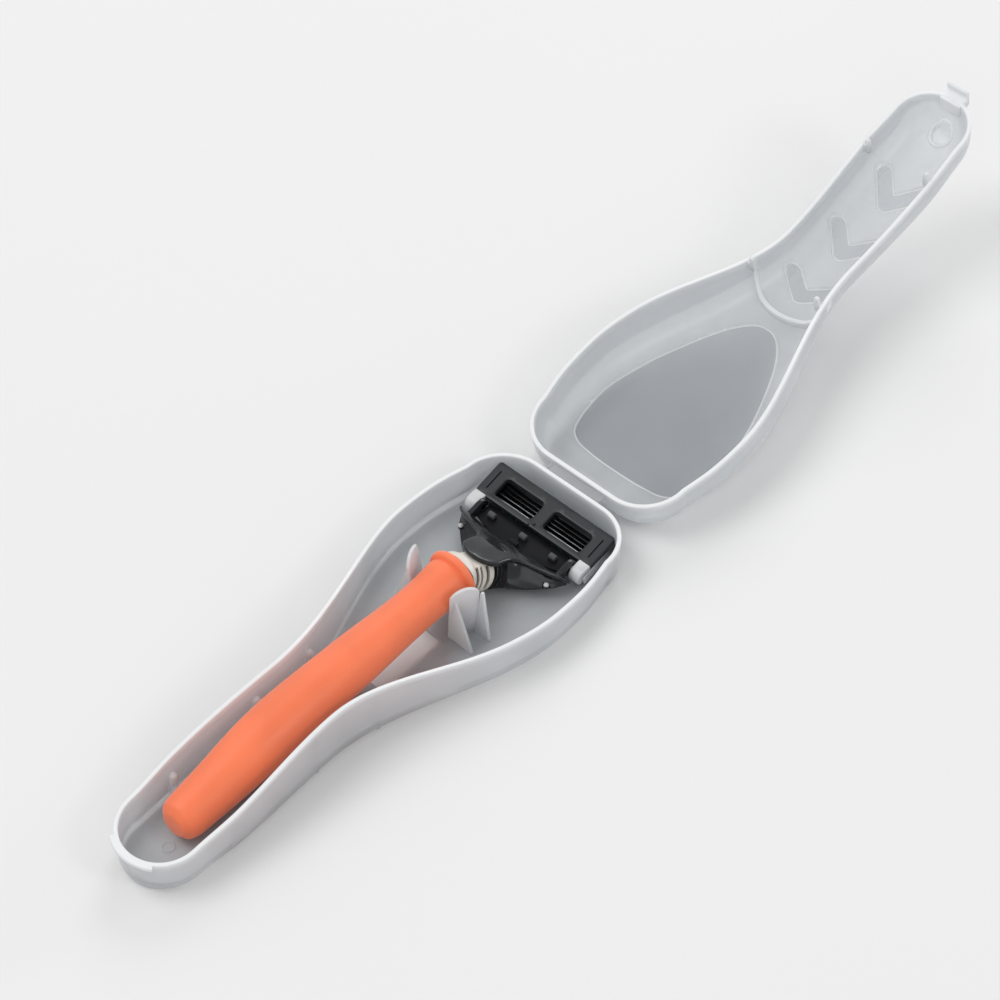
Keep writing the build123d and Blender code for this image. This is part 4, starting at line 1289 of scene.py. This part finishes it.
def make_clip(side):
    """Pale strap that folds over the end of the frame and down round the pivot."""
    inner, outer = side * 17.45, side * 21.3
    fold_x, fold_z, fold_radius = -2.6, -1.88, 2.45
    profile = [(0.5, 0.12), (-0.8, 0.4), (-1.8, 0.54)]
    for a in np.linspace(0.0, QUARTER, 10):
        profile.append((fold_x - fold_radius * math.sin(a), fold_z + fold_radius * math.cos(a)))
    profile += [(-5.05, -2.4), (-4.6, -2.9), (-3.2, -2.9), (-2.6, -2.5), (0.0, -2.5), (0.5, -0.6)]
    block = extrude("block", profile, inner, outer - inner, 0.3, 3)
    cheek = [(-3.4, -0.9), (8.0, -1.2), (8.0, -3.4), (-3.4, -3.6)]
    plate = extrude("cheek", cheek, side * 21.35, side * 0.5, 0.12)
    made = united(block, [plate], f"clip_{'left' if side > 0 else 'right'}", 35.0)
    # The strap's forward part takes the frame's black colour
    mark(made, "shade", points_of(made)[:, 0] > 0.6)
    return seat_on_cartridge(made)


class Sock:
    """Shader socket on which sums and products build their own nodes."""

    def __init__(self, tree, socket):
        self.tree = tree
        self.socket = socket

    def node(self, kind, inputs=(), output=0, **settings):
        """Any other node, fed with sockets or constants by input name or number."""
        made = self.tree.nodes.new(kind)
        for key, value in settings.items():
            setattr(made, key, value)
        for key, value in dict(inputs).items():
            self.feed(made.inputs[key], value)
        return Sock(self.tree, made.outputs[output])

    def feed(self, socket, value):
        if isinstance(value, Sock):
            self.tree.links.new(value.socket, socket)
        else:
            socket.default_value = value

    def math(self, operation, *values):
        return self.node("ShaderNodeMath", enumerate(values), operation=operation)

    def __add__(self, other):
        return self.math("ADD", self, other)

    def __rsub__(self, other):
        return self.math("SUBTRACT", other, self)

    def __mul__(self, other):
        return self.math("MULTIPLY", self, other)

    __rmul__ = __mul__

    def least(self, other):
        return self.math("MINIMUM", self, other)

    def ramp(self, low, high, at_low=0.0, at_high=1.0):
        """Smooth change from one value to another between two levels."""
        inputs = {"Value": self, "From Min": low, "From Max": high, "To Min": at_low, "To Max": at_high}
        return self.node("ShaderNodeMapRange", inputs, interpolation_type="SMOOTHSTEP")

    def blend(self, first, second):
        """Colour mix, with this socket as its factor."""
        made = self.tree.nodes.new("ShaderNodeMix")
        made.data_type = "RGBA"
        self.feed(made.inputs[0], self)
        for place, value in ((6, first), (7, second)):
            self.feed(made.inputs[place], value if isinstance(value, Sock) else (*value, 1.0))
        return Sock(self.tree, made.outputs[2])

    def mixed(self, first, second):
        """Shader mix, with this socket as its factor."""
        return self.node("ShaderNodeMixShader", {0: self, 1: first, 2: second})

    def vector(self, operation, values):
        """Coordinates after a sum or a product with a vector."""
        return self.node("ShaderNodeVectorMath", {0: self, 1: values}, operation=operation)

    def noise(self, scale, detail=3.0, rough=0.5):
        inputs = {"Vector": self, "Scale": scale, "Detail": detail, "Roughness": rough}
        return self.node("ShaderNodeTexNoise", inputs)

    def dust(self, seed, scale):
        """Soft patches that vary a finish."""
        return self.vector("ADD", seed).noise(scale, 4.0, 0.55)

    def marked(self, name):
        """Number stored on the piece's own points."""
        return self.node("ShaderNodeAttribute", (), 2, attribute_type="GEOMETRY", attribute_name=name)

    def bump(self, strength, distance):
        return self.node("ShaderNodeBump", {"Height": self, "Strength": strength, "Distance": distance})


def tinted(colour, share):
    return tuple(share * c for c in colour)


def start_material(name):
    """New material and the piece's own coordinates."""
    plain = bpy.data.materials.get(name)
    if plain:
        plain.name = name + "_plain"
    made = bpy.data.materials.new(name)
    made.use_nodes = True
    tree = made.node_tree
    tree.nodes.clear()
    place = tree.nodes.new("ShaderNodeTexCoord")
    return made, Sock(tree, place.outputs["Object"])


def principled(at, **values):
    """Principled shader; names use underscores for spaces."""
    return at.node("ShaderNodeBsdfPrincipled", {key.replace("_", " "): value for key, value in values.items()})


def finish_material(made, shader):
    output = shader.tree.nodes.new("ShaderNodeOutputMaterial")
    shader.tree.links.new(shader.socket, output.inputs["Surface"])
    return made


def milky_plastic(name, milk, tint):
    """Frosted clear plastic: part clear sheet with gloss, part white with light passing through.

    The piece's points say how polished each place is and how much painted highlight it gets.
    """
    made, at = start_material(name)
    patches = at.dust((0.0, 0.0, 0.0), 60.0)
    polish = at.marked("polish")
    edge = at.marked("edge")
    rough = patches.ramp(0.3, 0.7, 0.30, 0.42) * (1 - 0.7 * polish)
    grain = (at.noise(1400.0, 2.0) * (1 - polish)).bump(0.05, 0.0002)
    frosted = at.node("ShaderNodeBsdfTransparent", {"Color": (*(0.5 + 0.5 * c for c in tint), 1.0)})
    polished = at.node("ShaderNodeBsdfTransparent", {"Color": (*tinted(tint, 0.96), 1.0)})
    shine = {"Color": (1.0, 1.0, 1.0, 1.0), "Roughness": rough, "Normal": grain}
    gloss = at.node("ShaderNodeBsdfGlossy", shine)
    facing = at.node("ShaderNodeFresnel", {"IOR": 1.46})
    clear = facing.mixed(polish.mixed(frosted, polished), gloss)
    plain = patches.ramp(0.25, 0.75).blend(tinted(tint, 0.94), tint)
    # Painted highlight: marked places are blended towards white, scatter more and let less light through
    tone = edge.least(1.0).blend(plain, (0.83, 0.84, 0.85))
    white = principled(at, Base_Color=tone, Roughness=rough, IOR=1.46, Normal=grain)
    through = at.node("ShaderNodeBsdfTranslucent", {"Color": (*tint, 1.0)})
    scatter = (0.4 - 0.22 * edge).mixed(white, through)
    share = patches.ramp(0.2, 0.8, milk - 0.03, milk + 0.03) * (1 - 0.5 * polish) + 0.6 * edge
    return finish_material(made, share.least(1.0).mixed(clear, scatter))


def soft_rubber(colour):
    """Orange soft-touch sleeve with a faint grain and handling marks."""
    made, at = start_material("orange_grip")
    patches = at.dust((0.3, 0.1, 0.0), 45.0)
    tone = patches.ramp(0.3, 0.72).blend(tinted(colour, 0.88), colour)
    rough = patches.ramp(0.3, 0.7, 0.42, 0.56)
    grain = (at.noise(2600.0, 2.0) + 0.5 * at.noise(700.0, 3.0)).bump(0.12, 0.0002)
    soft = {"Subsurface_Weight": 0.12, "Subsurface_Scale": 0.0015, "Sheen_Weight": 0.15}
    return finish_material(made, principled(at, Base_Color=tone, Roughness=rough, Normal=grain, **soft))


def satin(name, low, high, rough, patch, grain, other, **values):
    """Satin surface whose tone and gloss vary in patches, with another colour on marked points.

    patch holds the patches' seed and scale, grain the scale, strength and depth of the bumps.
    """
    made, at = start_material(name)
    patches = at.dust(*patch)
    mark_name, mark_colour = other
    tone = at.marked(mark_name).blend(patches.ramp(0.3, 0.7).blend(low, high), mark_colour)
    bumps = at.noise(grain[0], 2.0).bump(*grain[1:])
    values.update(Base_Color=tone, Roughness=patches.ramp(0.3, 0.7, *rough), Normal=bumps)
    return finish_material(made, principled(at, **values))


def dark_plastic(name, low, high, rough, coat=0.0, shine=0.5):
    """Dark moulded plastic with a fine spark-eroded grain."""
    patch = ((0.1, 0.4, 0.2), 120.0)
    # Marked points: the nibs' own pale colour, and the painted highlight on the dock lugs' tops
    pale_and_highlight = ("light", (0.5, 0.51, 0.52))
    coated = {"Specular_IOR_Level": shine, "Coat_Weight": coat, "Coat_Roughness": 0.1}
    return satin(name, low, high, rough, patch, (1800.0, 0.08, 0.0001), pale_and_highlight, **coated)


def cream_plastic():
    """Cream moulded plastic of the sleeve, with painted shade deep in its slots."""
    low, high = (0.62, 0.575, 0.52), (0.72, 0.675, 0.62)
    patch = ((0.2, 0.0, 0.5), 150.0)
    # Near-black painted shade for the slots' depths
    dark = ("slot", (0.02, 0.017, 0.014))
    return satin("cream_button", low, high, (0.34, 0.46), patch, (1900.0, 0.06, 0.0001), dark)


def clip_metal():
    """Pale satin metal of the end clips, with dark cheeks."""
    low, high = (0.50, 0.51, 0.52), (0.60, 0.61, 0.62)
    patch = ((0.7, 0.2, 0.1), 260.0)
    dark = ("shade", (0.02, 0.022, 0.025))
    return satin("bright_clip", low, high, (0.38, 0.5), patch, (1500.0, 0.06, 0.00008), dark)


def metal(name, colour, rough, stretch=(1.0, 1.0, 1.0)):
    """Metal with drawn or ground lines along one way, and painted shade on marked points."""
    made, at = start_material(name)
    lines = at.vector("MULTIPLY", stretch).noise(900.0, 3.0)
    tone = lines.ramp(0.3, 0.7).blend(tinted(colour, 0.8), colour)
    # Painted shade on points marked so: the blades' lower parts and later edges
    tone = at.marked("shade").blend(tone, tinted(colour, 0.06))
    values = {"Roughness": lines.ramp(0.3, 0.7, rough * 0.8, rough * 1.25), "Normal": lines.bump(0.08, 0.00005)}
    return finish_material(made, principled(at, Base_Color=tone, Metallic=1.0, **values))


def place(obj, body, material, *nodes, slot=""):
    """Give a finished piece its material, its body and the nodes that it stands for."""
    obj.data.materials.clear()
    obj.data.materials.append(material)
    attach(obj, body)
    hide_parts(*nodes)
    slot or material.name


def dress(material, *nodes):
    """Give CAD pieces their surface."""
    for node in nodes:
        mesh = bpy.data.objects[node].data
        mesh.materials.clear()
        mesh.materials.append(material)


class ShaverCaseSettings(bpy.types.PropertyGroup):
    """Looks of the two shells."""

    tint: FloatVectorProperty(
        name="Plastic tint", description="Colour of the milky plastic",
        subtype="COLOR", size=3, min=0.0, max=1.0, default=(0.80, 0.82, 0.84),
    )
    milk: FloatProperty(
        name="Milkiness", description="Share of the plastic that scatters light",
        subtype="FACTOR", min=0.0, max=1.0, default=0.42,
    )


class ShaverRazorSettings(bpy.types.PropertyGroup):
    """Looks of the razor."""

    grip: FloatVectorProperty(
        name="Grip colour", description="Colour of the soft sleeve",
        subtype="COLOR", size=3, min=0.0, max=1.0, default=(0.90, 0.19, 0.072),
    )


class ShaverStageSettings(bpy.types.PropertyGroup):
    """Floor and camera."""

    floor: FloatVectorProperty(
        name="Floor colour", description="Colour of the floor",
        subtype="COLOR", size=3, min=0.0, max=1.0, default=(0.72, 0.72, 0.72),
    )
    distance: FloatProperty(
        name="Camera distance", description="Distance from camera to aim point",
        unit="LENGTH", default=0.9388,
    )
    lens: FloatProperty(
        name="Focal length", description="Focal length of the camera",
        subtype="DISTANCE_CAMERA", default=119.9,
    )


class OBJECT_OT_shaver_tray(bpy.types.Operator):
    """Build the tray with its clip posts, ribs and catch"""

    bl_idname = "object.shaver_tray"
    bl_label = "Tray"

    def execute(self, context):
        look = context.scene.shaver_case
        place(make_tray(), "tray", milky_plastic("milky_tray", look.milk, tuple(look.tint)), "base_tray")
        return {"FINISHED"}


class OBJECT_OT_shaver_lid(bpy.types.Operator):
    """Build the lid with its polished windows, rib, tabs and latch"""

    bl_idname = "object.shaver_lid"
    bl_label = "Lid"

    def execute(self, context):
        look = context.scene.shaver_case
        place(make_lid(), "lid", milky_plastic("milky_lid", look.milk, tuple(look.tint)), "lid_shell")
        return {"FINISHED"}


class OBJECT_OT_shaver_hinge(bpy.types.Operator):
    """Finish the strap of the living hinge"""

    bl_idname = "object.shaver_hinge"
    bl_label = "Hinge strap"

    def execute(self, context):
        look = context.scene.shaver_case
        dress(milky_plastic("milky_hinge", look.milk + 0.1, tinted(look.tint, 0.8)), "hinge_strap")
        return {"FINISHED"}


class OBJECT_OT_shaver_handle(bpy.types.Operator):
    """Build the razor's handle, neck and ribbed sleeve"""

    bl_idname = "object.shaver_handle"
    bl_label = "Handle"

    def execute(self, context):
        place(make_grip(), "razor", soft_rubber(tuple(context.scene.shaver_razor.grip)), "grip_sleeve")
        core = dark_plastic("dark_core", (0.02, 0.02, 0.022), (0.03, 0.03, 0.034), (0.45, 0.6))
        stem = dark_plastic("dark_stem", (0.025, 0.025, 0.028), (0.04, 0.04, 0.045), (0.3, 0.42))
        dress(core, "handle_core")
        dress(stem, "neck_stem")
        place(make_sleeve(), "button", cream_plastic(), "release_button")
        dress(metal("spring_wire", (0.6, 0.6, 0.6), 0.3), "button_spring", "plunger_spring")
        return {"FINISHED"}


class OBJECT_OT_shaver_head(bpy.types.Operator):
    """Build the yoke and its pivots"""

    bl_idname = "object.shaver_head"
    bl_label = "Head"

    def execute(self, context):
        low, high = (0.009, 0.010, 0.012), (0.016, 0.018, 0.020)
        head = dark_plastic("dark_head", low, high, (0.20, 0.28), 0.4, 0.22)
        place(make_head(), "razor", head, "head_yoke", "yoke_underplate")
        plunger = dark_plastic("plunger_plastic", (0.04, 0.04, 0.045), (0.06, 0.06, 0.065), (0.25, 0.35))
        dress(plunger, "return_plunger")
        dress(metal("pin_steel", (0.62, 0.62, 0.63), 0.25), "pivot_pin_left", "pivot_pin_right")
        return {"FINISHED"}


class OBJECT_OT_shaver_cartridge(bpy.types.Operator):
    """Build the blade cartridge"""

    bl_idname = "object.shaver_cartridge"
    bl_label = "Cartridge"

    def execute(self, context):
        low, high = (0.008, 0.011, 0.013), (0.013, 0.017, 0.020)
        black = dark_plastic("black_cartridge", low, high, (0.34, 0.46), 0.0, 0.42)
        place(make_frame(), "cartridge", black, "cartridge_frame")
        # The dock is black plastic darkened further as painted shade of the gap under the frame
        low, high = (0.003, 0.003, 0.004), (0.005, 0.006, 0.007)
        deep = dark_plastic("dock_black", low, high, (0.5, 0.62), 0.0, 0.15)
        place(make_dock(), "cartridge", deep, "cartridge_dock", slot="black_cartridge")
        steel = metal("blade_steel", (0.34, 0.35, 0.37), 0.3, (1.0, 0.02, 1.0))
        place(make_blades(steel), "cartridge", steel, *(f"blade_{index + 1}" for index in range(BLADE_COUNT)))
        rubber = dark_plastic("guard_rubber", (0.02, 0.02, 0.024), (0.03, 0.03, 0.035), (0.6, 0.75))
        gel = dark_plastic("strip_gel", (0.30, 0.42, 0.46), (0.38, 0.5, 0.54), (0.4, 0.55))
        dress(rubber, "guard_fins")
        dress(gel, "lubricating_strip")
        bright = clip_metal()
        for side, word in ((1, "left"), (-1, "right")):
            place(make_clip(side), "cartridge", bright, f"end_clip_{word}")
        return {"FINISHED"}


# Camera: aim, the way back from it and roll
AIM = Vector((27.4, 17.9, 0.0)) * MM
BACK = Vector((-0.4905, -0.4432, 0.7504))
ROLL = math.radians(0.29)
SENSOR = 36.0

# Lamps: name, place in metres, size and power
LAMPS = (
    ("key", (-0.55, 0.75, 1.5), 1.1, 11.5),
    ("fill", (-1.3, -0.9, 1.0), 1.4, 5.0),
    ("front", (0.2, -1.0, 0.85), 0.35, 2.0),
    ("low", (1.3, -0.4, 0.3), 0.4, 2.6),
    ("rim", (1.2, 0.7, 0.9), 0.8, 6.0),
)

# Floor in millimetres, and the world's level as light and as the camera sees it
FLOOR_GAP = 0.2
FLOOR_REACH = 3000.0
WORLD_LIGHT = 0.62
WORLD_SEEN = 0.9


def make_floor(colour):
    b = Build()
    corners = ((-1, -1), (1, -1), (1, 1), (-1, 1))
    b.add([(FLOOR_REACH * x, FLOOR_REACH * y, -FLOOR_GAP) for x, y in corners])
    b.cap(0, 4)
    floor = b.solid("floor")
    made, at = start_material("floor_paint")
    patches = at.noise(3.0, 4.0)
    tone = patches.ramp(0.3, 0.7).blend(tinted(colour, 0.985), colour)
    rough = patches.ramp(0.3, 0.7, 0.62, 0.7)
    grain = at.noise(900.0, 3.0).bump(0.03, 0.0005)
    finish_material(made, principled(at, Base_Color=tone, Roughness=rough, Normal=grain))
    floor.data.materials.append(made)


def make_world():
    world = bpy.data.worlds.new("studio")
    bpy.context.scene.world = world
    world.use_nodes = True
    tree = world.node_tree
    tree.nodes.clear()
    seen = tree.nodes.new("ShaderNodeLightPath")
    light = Sock(tree, seen.outputs["Is Camera Ray"]).ramp(0.0, 1.0, WORLD_LIGHT, WORLD_SEEN)
    shader = light.node("ShaderNodeBackground", {"Color": (1.0, 1.0, 1.0, 1.0), "Strength": light})
    out = tree.nodes.new("ShaderNodeOutputWorld")
    tree.links.new(shader.socket, out.inputs["Surface"])


def make_lamps():
    for name, spot, size, power in LAMPS:
        lamp = bpy.data.lights.new(name, "AREA")
        lamp.shape = "DISK"
        lamp.size = size
        lamp.energy = power
        obj = bpy.data.objects.new(name, lamp)
        obj.location = spot
        obj.rotation_euler = (AIM - Vector(spot)).to_track_quat("-Z", "Y").to_euler()
        bpy.context.scene.collection.objects.link(obj)


def make_camera(distance, lens):
    side = Vector((0, 0, 1)).cross(BACK).normalized()
    up = BACK.cross(side).normalized()
    turn = Matrix((side, up, BACK.normalized())).transposed() @ Matrix.Rotation(ROLL, 3, "Z")
    camera = bpy.data.cameras.new("camera")
    camera.lens = lens
    camera.sensor_width = SENSOR
    camera.clip_start = 0.01
    camera.clip_end = 50.0
    obj = bpy.data.objects.new("camera", camera)
    obj.matrix_world = Matrix.Translation(AIM + BACK.normalized() * distance) @ turn.to_4x4()
    bpy.context.scene.collection.objects.link(obj)
    bpy.context.scene.camera = obj


class SCENE_OT_shaver_stage(bpy.types.Operator):
    """Set up the floor, the soft lamps, the world and the camera"""

    bl_idname = "scene.shaver_stage"
    bl_label = "Stage"

    def execute(self, context):
        look = context.scene.shaver_stage
        make_floor(tuple(look.floor))
        make_world()
        make_lamps()
        make_camera(look.distance, look.lens)
        context.scene.view_settings.view_transform = "Standard"
        return {"FINISHED"}


OPERATORS = (
    OBJECT_OT_shaver_tray,
    OBJECT_OT_shaver_lid,
    OBJECT_OT_shaver_hinge,
    OBJECT_OT_shaver_handle,
    OBJECT_OT_shaver_head,
    OBJECT_OT_shaver_cartridge,
    SCENE_OT_shaver_stage,
)
SETTINGS = (
    ("shaver_case", ShaverCaseSettings),
    ("shaver_razor", ShaverRazorSettings),
    ("shaver_stage", ShaverStageSettings),
)


class VIEW3D_PT_shaver_box(bpy.types.Panel):
    """Lists the pieces of the storage box"""

    bl_idname = "VIEW3D_PT_shaver_box"
    bl_label = "Shaver storage box"
    bl_space_type = "VIEW_3D"
    bl_region_type = "UI"
    bl_category = "Shaver box"

    def draw(self, context):
        for group, kind in SETTINGS:
            box = self.layout.box()
            for name in kind.__annotations__:
                box.prop(getattr(context.scene, group), name)
        for operator in OPERATORS:
            self.layout.operator(operator.bl_idname)


def register():
    for name, group in SETTINGS:
        bpy.utils.register_class(group)
        setattr(bpy.types.Scene, name, PointerProperty(type=group))
    for operator in OPERATORS:
        bpy.utils.register_class(operator)
    bpy.utils.register_class(VIEW3D_PT_shaver_box)


def unregister():
    bpy.utils.unregister_class(VIEW3D_PT_shaver_box)
    for operator in reversed(OPERATORS):
        bpy.utils.unregister_class(operator)
    for name, group in reversed(SETTINGS):
        delattr(bpy.types.Scene, name)
        bpy.utils.unregister_class(group)


def main():
    register()
    bpy.ops.object.shaver_tray()
    bpy.ops.object.shaver_lid()
    bpy.ops.object.shaver_hinge()
    bpy.ops.object.shaver_handle()
    bpy.ops.object.shaver_head()
    bpy.ops.object.shaver_cartridge()
    bpy.ops.scene.shaver_stage()


if __name__ == "__main__":
    main()
